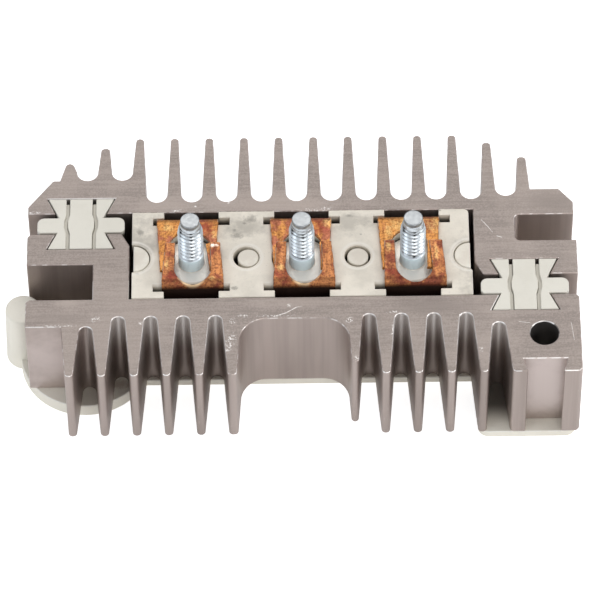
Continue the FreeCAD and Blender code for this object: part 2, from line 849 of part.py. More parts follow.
def raise_pegs(body):
    # Two round pegs and two half round ones that come up through the terminal block.
    height = size["sink_depth"] + size["block_rise"] - size["peg_rise"]
    sketch = new_sketch(body, "Pegs", lift=sink_base)
    peg_x = station_pitch / 2 - size["peg_draw"]
    draw_circle(sketch, (-peg_x + size["peg_shift"], terminal_y), size["peg_diameter"])
    draw_circle(sketch, (peg_x + size["peg_shift"], terminal_y), size["peg_diameter"])
    pad(body, sketch, "RoundPegs", height)
    radius = size["half_peg_radius"]
    for name, side, first in (("Left", -1, -math.pi / 2), ("Right", 1, math.pi / 2)):
        centre = (half_peg_x * side, terminal_y)
        sketch = new_sketch(body, name + "HalfPeg", lift=sink_base)
        circle = Part.Circle(vector(centre), FreeCAD.Vector(0, 0, 1), radius.value)
        sketch.addGeometry(Part.ArcOfCircle(circle, first, first + math.pi))
        low = (centre[0], centre[1] - radius)
        high = (centre[0], centre[1] + radius)
        start, end = (low, high) if side < 0 else (high, low)
        sketch.addGeometry(Part.LineSegment(vector(end), vector(start)))
        sketch.addConstraint(Sketcher.Constraint("Coincident", 0, 2, 1, 1))
        sketch.addConstraint(Sketcher.Constraint("Coincident", 1, 2, 0, 1))
        pin_point(sketch, 0, 3, centre)
        pin_point(sketch, 1, 2, start)
        sketch.addConstraint(Sketcher.Constraint("Vertical", 0, 3, 0, 2))
        pad(body, sketch, name + "HalfPegPad", height)


def stud(name, centre_x):
    # A threaded stud, turned in one piece with its flange, on a square root that keeps it from turning.
    body = make_body(name, x=centre_x, y=terminal_y)
    shank = size["stud_diameter"] / 2
    neck = size["neck_diameter"] / 2
    dog = size["dog_diameter"] / 2
    cut = size["stud_chamfer"]
    flange_base = flange_top - size["flange_thickness"]
    top = flange_top + size["stud_height"]
    dog_base = top - size["dog_height"]
    sketch = new_sketch(body, "Profile", "XZ_Plane")
    draw_outline(sketch, [
        (zero, flange_base),
        (flange_radius, flange_base),
        (flange_radius, flange_top),
        (neck, flange_top),
        (neck, flange_top + size["neck_height"]),
        (shank, flange_top + size["neck_height"]),
        (shank, dog_base - cut),
        (shank - cut, dog_base),
        (dog, dog_base),
        (dog, top),
        (zero, top),
    ])
    turned = body.newObject("PartDesign::Revolution", "Turned")
    turned.Profile = sketch
    turned.ReferenceAxis = (sketch, ["V_Axis"])
    turned.Angle = 360
    sketch = new_sketch(body, "Root", lift=flange_base - size["root_length"])
    draw_square(sketch, (zero, zero), size["root_width"])
    pad(body, sketch, "SquareRoot", size["root_length"])
    return body


def strap(name, centre_x, way, tab, slot_length, leg_fit, bottom):
    # A strap bent from sheet: its leg stands in the block, its slotted tab lies under the nut.
    body = make_body(name, x=centre_x)
    gauge = size["strap_gauge"]
    outside = (lip_inside - leg_fit) * way
    inside = outside - gauge * way
    free_end = outside - tab * way
    top = bottom + gauge
    half = size["strap_width"] / 2
    sketch = new_sketch(body, "Section", "YZ_Plane")
    draw_outline(sketch, [
        (outside, leg_low),
        (outside, top),
        (free_end, top),
        (free_end, bottom),
        (inside, bottom),
        (inside, leg_low),
    ])
    sheet_pad = pad(body, sketch, "Sheet", size["strap_width"])
    sheet_pad.Midplane = True
    doc.recompute()
    round_edges(
        body, "BendOutside", size["bend_radius"],
        lambda edge, middle: near(middle.y, outside) and near(middle.z, top),
    )
    round_edges(
        body, "BendInside", size["bend_radius"] - gauge,
        lambda edge, middle: near(middle.y, inside) and near(middle.z, bottom),
    )
    taper = size["strap_taper"]
    bend_line = outside - size["bend_radius"] * way
    for side_name, side in (("Left", -1), ("Right", 1)):
        sketch = new_sketch(body, side_name + "Taper", lift=top)
        draw_outline(sketch, [
            (half * side, bend_line),
            ((half - taper) * side, free_end),
            (half * side, free_end),
        ])
        pocket(body, sketch, side_name + "TaperCut", size["bend_radius"], reverse=True)
    radius = size["strap_slot_width"] / 2
    slot_end = free_end + slot_length * way
    sketch = new_sketch(body, "Slot", lift=top)
    mouth = size["strap_slot_mouth"] / 2
    draw_gap(sketch, zero, slot_end, radius, free_end, mouth, mouth)
    pocket(body, sketch, "SlotCut", size["strap_slot_depth"], reverse=True)
    return body


def diode(name, centre_x, way, leg_fit):
    # A diode cell, held between the leg of its strap and the inner face of its heat sink.
    body = make_body(name, x=centre_x)
    inner = (lip_inside - leg_fit) * way
    outer = half_gap * way
    half = size["diode_width"] / 2
    low = sink_base + size["pocket_floor"]
    sketch = new_sketch(body, "Outline", lift=low)
    draw_outline(sketch, [(-half, inner), (half, inner), (half, outer), (-half, outer)])
    pad(body, sketch, "Cell", size["diode_height"])
    round_edges(
        body, "CellEdges", size["diode_chamfer"],
        lambda edge, middle: upright(edge),
        "PartDesign::Chamfer",
    )
    return body


def build():
    parts = [positive_heat_sink(), ground_heat_sink(), terminal_block(), rear_plate()]
    keys = (
        ("left_key", -key_x, key_y),
        ("right_key", key_x, -key_y),
    )
    for name, centre_x, centre_y in keys:
        parts.append(key_half(name + "_left_half", centre_x, centre_y, -1))
        parts.append(key_wedge(name + "_wedge", centre_x, centre_y))
        parts.append(key_half(name + "_right_half", centre_x, centre_y, 1))
    sides = (("positive", 1, block_top), ("ground", -1, block_top + size["strap_gauge"]))
    for index in stations:
        centre_x = station_pitch * (index - 1)
        place = index + 1
        parts.append(stud(f"stator_stud_{place}", centre_x))
        for side, way, bottom in sides:
            middle_x = centre_x + size[f"{side}_strap_{place}_shift"]
            tab = size[f"{side}_tab"]
            slot_length = size[f"{side}_slot_length"]
            fit = size[f"{side}_leg_fit"]
            parts.append(strap(f"{side}_strap_{place}", middle_x, way, tab, slot_length, fit, bottom))
            parts.append(diode(f"{side}_diode_{place}", centre_x, way, fit))
    return parts


def check(parts):
    for item in doc.Objects:
        if "Invalid" in item.State or "Error" in item.State:
            raise RuntimeError(f"{item.Label} failed: {item.State}")
    for part in parts:
        shape = part.Shape
        if shape.isNull() or not shape.isValid() or len(shape.Solids) != 1:
            raise RuntimeError(f"{part.Label} is not one valid solid")


parts = build()
doc.recompute()
check(parts)
os.makedirs("parts", exist_ok=True)
for part in parts:
    part.Shape.exportStep(f"parts/{part.Label}.step")
print(f"{len(parts)} parts written")
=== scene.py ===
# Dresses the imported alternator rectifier: sawn sinks, cream mouldings, zinc studs and copper straps.
from math import atan2, cos, degrees, hypot, pi, radians, sin

import bmesh
import bpy
from mathutils import Matrix, Vector


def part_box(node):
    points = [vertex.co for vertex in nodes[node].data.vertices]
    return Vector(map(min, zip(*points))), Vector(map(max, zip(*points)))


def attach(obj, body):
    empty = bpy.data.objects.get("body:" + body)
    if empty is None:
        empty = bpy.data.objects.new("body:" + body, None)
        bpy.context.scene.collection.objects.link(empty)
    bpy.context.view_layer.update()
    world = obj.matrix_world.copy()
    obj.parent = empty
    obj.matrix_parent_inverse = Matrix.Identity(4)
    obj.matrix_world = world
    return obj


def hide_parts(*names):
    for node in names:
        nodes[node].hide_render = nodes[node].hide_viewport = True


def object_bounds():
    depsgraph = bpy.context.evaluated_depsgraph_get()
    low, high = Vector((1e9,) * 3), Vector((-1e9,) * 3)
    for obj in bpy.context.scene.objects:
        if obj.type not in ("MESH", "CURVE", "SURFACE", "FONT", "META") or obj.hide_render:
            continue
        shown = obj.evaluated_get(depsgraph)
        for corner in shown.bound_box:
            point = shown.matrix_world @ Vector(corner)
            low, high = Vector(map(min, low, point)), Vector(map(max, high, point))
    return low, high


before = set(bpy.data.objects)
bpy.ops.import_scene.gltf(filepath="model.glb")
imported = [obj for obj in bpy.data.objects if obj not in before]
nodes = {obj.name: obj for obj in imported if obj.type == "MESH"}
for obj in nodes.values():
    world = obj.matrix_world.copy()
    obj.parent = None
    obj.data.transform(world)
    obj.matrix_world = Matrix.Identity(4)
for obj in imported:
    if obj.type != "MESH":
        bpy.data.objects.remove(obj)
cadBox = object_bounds()
scene = bpy.context.scene
mm = 0.001
print("frame loaded:", len(nodes), "CAD nodes")


cameraSet = {
    "target": (-44.95, 8.10, 22.7),  # mm, on the sawn face midway between the sinks
    "distance": 930.5,
    "elevation": 54.2,
    "roll": -0.7,
    "lens": 301.8,
}

studioSet = {
    "worldTone": (0.93, 0.95, 1.0),
    "worldStrength": 0.6,
    "boxes": (  # name, offset from the part in m, width, height, watts and tone
        ("farBox", (0.05, 0.45, 0.75), 0.9, 0.5, 2.3, (1, 0.97, 0.94)),
        ("nearBox", (0.3, -0.75, 0.5), 0.5, 0.3, 1.35, (1, 0.97, 0.94)),
        ("rightBox", (0.7, -0.1, 0.35), 0.3, 0.6, 1.6, (1, 1, 1)),
        ("leftBox", (-0.6, -0.45, 0.35), 0.3, 0.6, 0.9, (0.85, 0.93, 1)),
    ),
    "floorReach": 3,  # m
    "floorTone": (0.8, 0.8, 0.8),
    "floorPale": (0.85, 0.85, 0.85),
    "floorGlow": 0.26,  # what the card throws on the part
    "cardWhite": 0.55,  # what only the camera sees of it
}


def setCamera():
    camera = bpy.data.objects.new("photoCamera", bpy.data.cameras.new("photoCamera"))
    camera.data.lens = cameraSet["lens"]
    camera.data.sensor_width = 36.0
    camera.data.clip_start = 0.05
    camera.data.clip_end = 10.0
    tilt = radians(cameraSet["elevation"])
    away = Vector((0, -cos(tilt), sin(tilt))) * cameraSet["distance"]
    stand = Matrix.Translation((Vector(cameraSet["target"]) + away) * mm)
    aim = Matrix.Rotation(pi / 2 - tilt, 4, "X") @ Matrix.Rotation(radians(cameraSet["roll"]), 4, "Z")
    camera.matrix_world = stand @ aim
    scene.collection.objects.link(camera)
    scene.camera = camera


def addSoftbox(name, spot, aimAt, width, height, power, tone):
    lamp = bpy.data.lights.new(name, "AREA")
    lamp.shape = "RECTANGLE"
    lamp.size = width
    lamp.size_y = height
    lamp.energy = power
    lamp.color = tone
    box = bpy.data.objects.new(name, lamp)
    turn = (aimAt - spot).to_track_quat("-Z", "Y")
    box.matrix_world = Matrix.Translation(spot) @ turn.to_matrix().to_4x4()
    scene.collection.objects.link(box)


def setStudio():
    scene.view_settings.view_transform = "Standard"
    world = bpy.data.worlds.new("studioRoom")
    world.use_nodes = True
    backdrop = world.node_tree.nodes["Background"]
    backdrop.inputs["Color"].default_value = (*studioSet["worldTone"], 1)
    backdrop.inputs["Strength"].default_value = studioSet["worldStrength"]
    scene.world = world
    middle = Vector(cameraSet["target"]) * mm
    for name, offset, width, height, power, tone in studioSet["boxes"]:
        addSoftbox(name, middle + Vector(offset), middle, width, height, power, tone)


def addFloor():
    far = studioSet["floorReach"]
    corners = [(-far, -far), (far, -far), (far, far), (-far, far)]
    mesh = bpy.data.meshes.new("floor")
    mesh.from_pydata([(x, y, cadBox[0][2]) for x, y in corners], [], [(0, 1, 2, 3)])
    floor = bpy.data.objects.new("floor", mesh)
    scene.collection.objects.link(floor)
    mesh.materials.append(floorCard())


def put(tree, kind, inputs=None, **settings):
    # A value goes on the socket, and a socket given as a value is linked to it.
    node = tree.nodes.new(kind)
    for name, value in settings.items():
        setattr(node, name, value)
    for key, value in (inputs or {}).items():
        if isinstance(value, bpy.types.NodeSocket):
            tree.links.new(value, node.inputs[key])
        else:
            node.inputs[key].default_value = value
    return node


def calc(tree, operation, first, second=0.0, third=0.0, clamp=False):
    inputs = {0: first, 1: second, 2: third}
    return put(tree, "ShaderNodeMath", inputs, operation=operation, use_clamp=clamp).outputs[0]


def vectorCalc(tree, operation, first, second=(0, 0, 0)):
    return put(tree, "ShaderNodeVectorMath", {0: first, 1: second}, operation=operation).outputs[0]


def lengthOf(tree, vector):
    return put(tree, "ShaderNodeVectorMath", {0: vector}, operation="LENGTH").outputs["Value"]


def ease(tree, value, low, high, start=0.0, end=1.0):
    inputs = {"Value": value, "From Min": low, "From Max": high, "To Min": start, "To Max": end}
    return put(tree, "ShaderNodeMapRange", inputs, interpolation_type="SMOOTHSTEP").outputs[0]


def blend(tree, factor, under, over):
    node = put(tree, "ShaderNodeMix", {"Factor": factor}, data_type="RGBA")
    for socket, value in ((node.inputs[6], under), (node.inputs[7], over)):
        if isinstance(value, bpy.types.NodeSocket):
            tree.links.new(value, socket)
        else:
            socket.default_value = (*value, 1)
    return node.outputs[2]


def tint(tree, mask, share, under, over):
    # Lays one tone over another through a mask, at most as strongly as share says.
    return blend(tree, calc(tree, "MULTIPLY", mask, share), under, over)


def anyOf(tree, masks):
    # The strongest of several masks.
    total = masks[0]
    for mask in masks[1:]:
        total = calc(tree, "MAXIMUM", total, mask)
    return total


def noise(tree, coordinates, scale, detail=3.0, roughness=0.55):
    inputs = {"Vector": coordinates, "Scale": scale, "Detail": detail, "Roughness": roughness}
    return put(tree, "ShaderNodeTexNoise", inputs).outputs[0]


def newGroup(name, inputs, outputs):
    kinds = {"F": "NodeSocketFloat", "V": "NodeSocketVector"}
    tree = bpy.data.node_groups.new(name, "ShaderNodeTree")
    for label, kind in inputs:
        tree.interface.new_socket(label, in_out="INPUT", socket_type=kinds[kind])
    for label in outputs:
        tree.interface.new_socket(label, in_out="OUTPUT", socket_type=kinds["F"])
    return tree, tree.nodes.new("NodeGroupInput").outputs, tree.nodes.new("NodeGroupOutput").inputs


def place(tree, group, **inputs):
    return put(tree, "ShaderNodeGroup", inputs, node_tree=group).outputs[0]


def directedGrainGroup():
    # Fine lines drawn out along one axis, such as saw marks or die lines.
    tree, source, result = newGroup(
        "directedGrain", (("Coordinates", "V"), ("Stretch", "V"), ("Scale", "F")), ("Height",)
    )
    drawn = vectorCalc(tree, "MULTIPLY", source["Coordinates"], source["Stretch"])
    coarse = noise(tree, drawn, source["Scale"], detail=2.0)
    fine = noise(tree, drawn, calc(tree, "MULTIPLY", source["Scale"], 3.1), detail=2.0)
    mixed = calc(tree, "MULTIPLY_ADD", fine, 0.4, calc(tree, "MULTIPLY", coarse, 0.6))
    tree.links.new(mixed, result["Height"])
    return tree


def blotchGroup():
    # Soft cloudy patches, such as stains and uneven tarnish.
    tree, source, result = newGroup(
        "blotches", (("Coordinates", "V"), ("Scale", "F"), ("Threshold", "F"), ("Softness", "F")), ("Mask",)
    )
    cloud = noise(tree, source["Coordinates"], source["Scale"], detail=4.0, roughness=0.6)
    high = calc(tree, "ADD", source["Threshold"], source["Softness"])
    tree.links.new(ease(tree, cloud, source["Threshold"], high), result["Mask"])
    return tree


def rimWearAndHighlightGroup():
    # Bright wear and painted highlight on the narrow faces that the rim attribute marks, the more broken the
    # lower its value.
    tree, source, result = newGroup(
        "rimWearAndHighlight", (("Rim", "F"), ("Coordinates", "V"), ("Scale", "F"), ("Threshold", "F")), ("Mask",)
    )
    patches = noise(tree, source["Coordinates"], source["Scale"], detail=2.0)
    lifted = calc(tree, "MULTIPLY_ADD", source["Rim"], 0.22, patches)
    high = calc(tree, "ADD", source["Threshold"], 0.12)
    broken = ease(tree, lifted, source["Threshold"], high)
    tree.links.new(calc(tree, "MULTIPLY", source["Rim"], broken), result["Mask"])
    return tree


def scratchGroup():
    # One scratch: a thin soft line from Start to End, broken up along its way.
    tree, source, result = newGroup(
        "scratch", (("Coordinates", "V"), ("Start", "V"), ("End", "V"), ("Width", "F")), ("Mask",)
    )
    run = vectorCalc(tree, "SUBTRACT", source["End"], source["Start"])
    offset = vectorCalc(tree, "SUBTRACT", source["Coordinates"], source["Start"])
    dots = [
        put(tree, "ShaderNodeVectorMath", {0: pair[0], 1: pair[1]}, operation="DOT_PRODUCT").outputs["Value"]
        for pair in ((offset, run), (run, run))
    ]
    along = calc(tree, "DIVIDE", dots[0], dots[1], clamp=True)
    nearest = put(tree, "ShaderNodeVectorMath", {0: run, "Scale": along}, operation="SCALE").outputs[0]
    gap = vectorCalc(tree, "SUBTRACT", offset, nearest)
    distance = lengthOf(tree, gap)
    line = ease(tree, distance, 0.0, source["Width"], 1.0, 0.0)
    broken = ease(tree, noise(tree, source["Coordinates"], 2600.0), 0.3, 0.5)
    tree.links.new(calc(tree, "MULTIPLY", line, broken), result["Mask"])
    return tree


def cloudySpotGroup():
    # One cloudy spot round a centre, stretched as Reach says; it shapes stains, nicks and tarnish, and
    # patches of painted light and shade.
    tree, source, result = newGroup(
        "cloudySpot", (("Coordinates", "V"), ("Centre", "V"), ("Reach", "V"), ("Scale", "F")), ("Mask",)
    )
    offset = vectorCalc(tree, "SUBTRACT", source["Coordinates"], source["Centre"])
    distance = lengthOf(tree, vectorCalc(tree, "DIVIDE", offset, source["Reach"]))
    cloud = noise(tree, source["Coordinates"], source["Scale"], detail=5.0, roughness=0.7)
    edge = calc(tree, "MULTIPLY_ADD", cloud, 3.0, calc(tree, "SUBTRACT", distance, 1.5))
    tree.links.new(ease(tree, edge, 0.1, 1.1, 1.0, 0.0), result["Mask"])
    return tree


def collarGroup():
    # A soft ring round an upright axis, such as the swell round a peg hole.
    tree, source, result = newGroup(
        "collar", (("Coordinates", "V"), ("Centre", "V"), ("Radius", "F"), ("Width", "F")), ("Mask",)
    )
    offset = vectorCalc(tree, "SUBTRACT", source["Coordinates"], source["Centre"])
    distance = lengthOf(tree, vectorCalc(tree, "MULTIPLY", offset, (1, 1, 0)))
    gap = calc(tree, "ABSOLUTE", calc(tree, "SUBTRACT", distance, source["Radius"]))
    tree.links.new(ease(tree, gap, 0.0, source["Width"], 1.0, 0.0), result["Mask"])
    return tree


def deepShadeGroup():
    # Painted shade that darkens a piece below its top, wholly so at Floor; the zinc also uses it as a plain
    # level mask.
    tree, source, result = newGroup(
        "deepShade", (("Coordinates", "V"), ("Top", "F"), ("Floor", "F")), ("Mask",)
    )
    height = put(tree, "ShaderNodeSeparateXYZ", {0: source["Coordinates"]}).outputs[2]
    tree.links.new(ease(tree, height, source["Floor"], source["Top"], 1.0, 0.0), result["Mask"])
    return tree


def finGapGroup():
    # Painted shade between the fins from Left to Right, deepest at their Root.
    # Behind says how far past the root the mask runs on.
    places = ("Left", "Right", "Root", "Mouth", "Behind")
    tree, source, result = newGroup(
        "finGap", (("Coordinates", "V"), *((label, "F") for label in places)), ("Mask",)
    )
    split = put(tree, "ShaderNodeSeparateXYZ", {0: source["Coordinates"]}).outputs
    depth = ease(tree, split[1], source["Mouth"], source["Root"])
    past = [calc(tree, "GREATER_THAN", split[0], source[label]) for label in ("Left", "Right")]
    inside = calc(tree, "SUBTRACT", past[0], past[1])
    inward = calc(tree, "SIGN", calc(tree, "SUBTRACT", source["Mouth"], source["Root"]))
    passed = calc(tree, "MULTIPLY", calc(tree, "SUBTRACT", source["Root"], split[1]), inward)
    inside = calc(tree, "MULTIPLY", inside, calc(tree, "LESS_THAN", passed, source["Behind"]))
    tree.links.new(calc(tree, "MULTIPLY", depth, inside), result["Mask"])
    return tree


directedGrain = directedGrainGroup()
blotches = blotchGroup()
rimWearAndHighlight = rimWearAndHighlightGroup()
scratch = scratchGroup()
cloudySpot = cloudySpotGroup()
collar = collarGroup()
deepShade = deepShadeGroup()
finGap = finGapGroup()
print("shared effects built")


def newFinish(name):
    finish = bpy.data.materials.new(name)
    finish.use_nodes = True
    tree = finish.node_tree
    shader = tree.nodes["Principled BSDF"]
    coordinates = tree.nodes.new("ShaderNodeTexCoord").outputs["Object"]
    return finish, tree, shader, coordinates


def readRim(tree):
    return put(tree, "ShaderNodeAttribute", attribute_name="rim").outputs["Fac"]


def bump(tree, shader, height, depth):
    node = put(tree, "ShaderNodeBump", {"Height": height, "Distance": depth * mm, "Strength": 1.0})
    tree.links.new(node.outputs[0], shader.inputs["Normal"])


def marksMask(tree, coordinates, marks):
    # All the scratches of one piece as one mask, each from start to end in mm with its half width.
    return anyOf(tree, [
        place(
            tree, scratch, Coordinates=coordinates,
            Start=Vector(start) * mm, End=Vector(end) * mm, Width=width * mm,
        )
        for start, end, width in marks
    ])


def spotsMask(tree, coordinates, spots, scale):
    # All the spots of one kind as one mask, each a centre and its reach in mm.
    return anyOf(tree, [
        place(
            tree, cloudySpot, Coordinates=coordinates,
            Centre=Vector(centre) * mm, Reach=Vector(reach) * mm, Scale=scale,
        )
        for centre, reach in spots
    ])


def gapMasks(tree, coordinates, gaps):
    # One mask for each group of fins, given as left, right, root, mouth and behind in mm.
    labels = ("Left", "Right", "Root", "Mouth", "Behind")
    return [
        place(tree, finGap, Coordinates=coordinates, **{label: at * mm for label, at in zip(labels, gap)})
        for gap in gaps
    ]


def floorCard():
    finish, tree, shader, coordinates = newFinish("floorCard")
    tone = blend(tree, noise(tree, coordinates, 40.0), studioSet["floorTone"], studioSet["floorPale"])
    tree.links.new(tone, shader.inputs["Base Color"])
    shader.inputs["Roughness"].default_value = 0.9
    shader.inputs["Specular IOR Level"].default_value = 0.1
    shader.inputs["Emission Color"].default_value = (1, 1, 1, 1)
    seen = tree.nodes.new("ShaderNodeLightPath").outputs["Is Camera Ray"]
    glow = calc(tree, "MULTIPLY_ADD", seen, studioSet["cardWhite"], studioSet["floorGlow"])
    tree.links.new(glow, shader.inputs["Emission Strength"])
    return finish


aluminiumSet = {
    "sawnTone": (0.395, 0.34, 0.307),
    "sawnDark": (0.285, 0.246, 0.222),
    "sawnLight": (0.46, 0.395, 0.355),
    "wallTone": (0.48, 0.405, 0.368),
    "wallDark": (0.375, 0.313, 0.282),
    "wallLight": (0.62, 0.535, 0.50),
    # Painted shade between the fins.
    "gapTone": (0.15, 0.115, 0.10),
    # Painted shade inside the bore.
    "boreTone": (0.20, 0.185, 0.175),
    # Bright nicks, scratches and rim wear, also used as painted highlight on lit rims and at the tops of the
    # fin gaps.
    "brightTone": (0.9, 0.87, 0.84),
    "metallic": 0.8,
    "sawnRough": 0.55,
    "wallRough": 0.42,
    "sawStretch": (0.05, 1.0, 1.0), "sawScale": 1700.0,
    "dieStretch": (1.0, 1.0, 0.015), "dieScale": 800.0,
    "bandStretch": (1.0, 1.0, 0.1), "bandScale": 120.0,
    "grainScale": 3200.0, "hazeScale": 70.0, "patchScale": 60.0, "washScale": 45.0,
    "rimScale": 700.0, "speckScale": 2600.0, "nickScale": 900.0, "dentScale": 4200.0,
    "hazeShare": 0.35, "patchShare": 0.6, "gapShadeShare": 0.36,
    "glowShare": 0.7, "rimShare": 0.85, "nickShare": 0.9,
    "gapShadeTop": 1.5, "gapShadeFloor": 11.0,  # mm below the sawn face
    "relief": 0.012,  # mm
}


def sawnAluminium(name, values):
    # Saw marks on the cut faces, die lines on the drawn walls, painted light and shade patches, painted shade
    # between the fins with a painted highlight at their tops, and bright nicks.
    look = aluminiumSet
    finish, tree, shader, coordinates = newFinish(name)
    normal = tree.nodes.new("ShaderNodeNewGeometry").outputs["True Normal"]
    upward = put(tree, "ShaderNodeSeparateXYZ", {0: normal}).outputs[2]
    sawn = calc(tree, "GREATER_THAN", calc(tree, "ABSOLUTE", upward), 0.9)
    sawLines, dieLines, bands = (
        place(
            tree, directedGrain, Coordinates=coordinates,
            Stretch=look[f"{kind}Stretch"], Scale=look[f"{kind}Scale"],
        )
        for kind in ("saw", "die", "band")
    )
    grain = noise(tree, coordinates, look["grainScale"])
    haze = place(
        tree, blotches, Coordinates=coordinates, Scale=look["hazeScale"], Threshold=0.42, Softness=0.2,
    )
    grained = calc(tree, "MULTIPLY_ADD", sawLines, 0.55, calc(tree, "MULTIPLY", grain, 0.45))
    face = blend(tree, ease(tree, grained, 0.40, 0.60), look["sawnDark"], look["sawnTone"])
    face = tint(tree, haze, look["hazeShare"], face, look["sawnLight"])
    # Patches of painted light and painted shade on the sawn faces.
    for label, shade in (("paintedLight", "sawnLight"), ("dullAndShade", "sawnDark")):
        patch = spotsMask(tree, coordinates, values[label], look["patchScale"])
        face = tint(tree, patch, look["patchShare"], face, look[shade])
    drawn = calc(tree, "MULTIPLY_ADD", dieLines, 0.3, calc(tree, "MULTIPLY", bands, 0.7))
    wall = blend(tree, ease(tree, drawn, 0.38, 0.62), look["wallDark"], look["wallTone"])
    # Painted light on walls that lie in shade.
    if values["paintedWallLight"]:
        wallLit = spotsMask(tree, coordinates, values["paintedWallLight"], look["washScale"])
        wall = blend(tree, wallLit, wall, look["wallLight"])
    # Painted shade between the fins, growing deeper below the sawn face, and a painted highlight near the
    # tops of the gaps.
    low = place(
        tree, deepShade, Coordinates=coordinates,
        Top=(faceZ - look["gapShadeTop"]) * mm, Floor=(faceZ - look["gapShadeFloor"]) * mm,
    )
    reach = calc(tree, "MULTIPLY", low, look["gapShadeShare"])
    for paintedDark in gapMasks(tree, coordinates, values["finGaps"]):
        wall = tint(tree, paintedDark, reach, wall, look["gapTone"])
        high = calc(tree, "MULTIPLY", paintedDark, calc(tree, "SUBTRACT", 1.0, low))
        wall = tint(tree, high, look["glowShare"], wall, look["brightTone"])
    # Painted shade inside the bore.
    if values["bore"]:
        bore = place(tree, collar, Coordinates=coordinates, Radius=0.0, Width=values["bore"] * mm)
        wall = blend(tree, calc(tree, "GREATER_THAN", bore, 0.0), wall, look["boreTone"])
    body = blend(tree, sawn, wall, face)
    wornAndLit = place(
        tree, rimWearAndHighlight, Rim=readRim(tree), Coordinates=coordinates, Scale=look["rimScale"], Threshold=0.60,
    )
    wornAndLit = calc(tree, "MULTIPLY", wornAndLit, look["rimShare"])
    specks = place(
        tree, blotches, Coordinates=coordinates, Scale=look["speckScale"], Threshold=0.5, Softness=0.08,
    )
    nicks = calc(tree, "MULTIPLY", spotsMask(tree, coordinates, values["nicks"], look["nickScale"]), specks)
    dents = spotsMask(tree, coordinates, values["dents"], look["dentScale"])
    chips = calc(tree, "MULTIPLY", anyOf(tree, [nicks, dents]), look["nickShare"])
    bright = anyOf(tree, [wornAndLit, marksMask(tree, coordinates, values["marks"]), chips])
    tree.links.new(blend(tree, bright, body, look["brightTone"]), shader.inputs["Base Color"])
    shader.inputs["Metallic"].default_value = look["metallic"]
    lines = put(tree, "ShaderNodeMix", {"Factor": sawn, "A": dieLines, "B": grained}).outputs[0]
    rough = put(tree, "ShaderNodeMix", {
        "Factor": sawn, "A": look["wallRough"], "B": look["sawnRough"],
    }).outputs[0]
    rough = calc(tree, "MULTIPLY_ADD", calc(tree, "SUBTRACT", lines, 0.5), 0.25, rough)
    tree.links.new(rough, shader.inputs["Roughness"])
    bump(tree, shader, calc(tree, "MULTIPLY_ADD", bright, -0.3, lines), look["relief"])
    return finish


creamLook = {
    "speckScale": 2400.0, "stainAndShadeScale": 700.0, "greyScale": 260.0, "rimScale": 500.0, "skinScale": 1800.0,
    "stainAndShadeShare": 0.62, "collarShare": 0.5, "rimShare": 0.6, "gapShare": 0.9,
    "collarWidth": 0.45, "relief": 0.015,  # mm
    "roughSpread": 0.08,
}


def creamMoulding(name, values):
    # Cream moulded plastic: clouded, speckled and stained, with a spot of painted shade on the plate, rubbed
    # on its edges with a painted highlight, and darkened by painted shade where it is deep and between the
    # fins.
    look = creamLook
    finish, tree, shader, coordinates = newFinish(name)
    clouds = place(
        tree, blotches, Coordinates=coordinates, Scale=values["cloudScale"], Threshold=0.38, Softness=0.35,
    )
    tone = blend(tree, clouds, values["tone"], values["shade"])
    speckle = place(
        tree, blotches, Coordinates=coordinates, Scale=look["speckScale"], Threshold=0.6, Softness=0.1,
    )
    tone = tint(tree, speckle, values["speckle"], tone, values["stain"])
    # Stains, and on the plate one spot of painted shade.
    if values["stainsAndShade"]:
        stainAndShadeMask = spotsMask(tree, coordinates, values["stainsAndShade"], look["stainAndShadeScale"])
        tone = tint(tree, stainAndShadeMask, look["stainAndShadeShare"], tone, values["stain"])
    if values["greys"]:
        greyed = spotsMask(tree, coordinates, values["greys"], look["greyScale"])
        tone = tint(tree, greyed, values["greyed"], tone, values["stain"])
    for centre, radius in values["collars"]:
        swell = place(
            tree, collar, Coordinates=coordinates, Centre=Vector((*centre, 0)) * mm,
            Radius=radius * mm, Width=look["collarWidth"] * mm,
        )
        tone = tint(tree, swell, look["collarShare"], tone, values["rubbed"])
    wornAndLit = place(
        tree, rimWearAndHighlight, Rim=readRim(tree), Coordinates=coordinates, Scale=look["rimScale"], Threshold=0.52,
    )
    tone = tint(tree, wornAndLit, look["rimShare"], tone, values["rubbed"])
    # Painted shade where the piece is deep, and between the fins on the plate.
    top, floor = values["deep"]
    deep = place(tree, deepShade, Coordinates=coordinates, Top=top * mm, Floor=floor * mm)
    for paintedDark in gapMasks(tree, coordinates, values["finGaps"]):
        deep = anyOf(tree, [deep, calc(tree, "MULTIPLY", paintedDark, look["gapShare"])])
    tone = blend(tree, deep, tone, values["deepTone"])
    tree.links.new(tone, shader.inputs["Base Color"])
    skin = noise(tree, coordinates, look["skinScale"])
    smooth, coarse = (values["rough"] + way * look["roughSpread"] for way in (-1, 1))
    tree.links.new(ease(tree, skin, 0.2, 0.8, smooth, coarse), shader.inputs["Roughness"])
    bump(tree, shader, skin, look["relief"])
    return finish


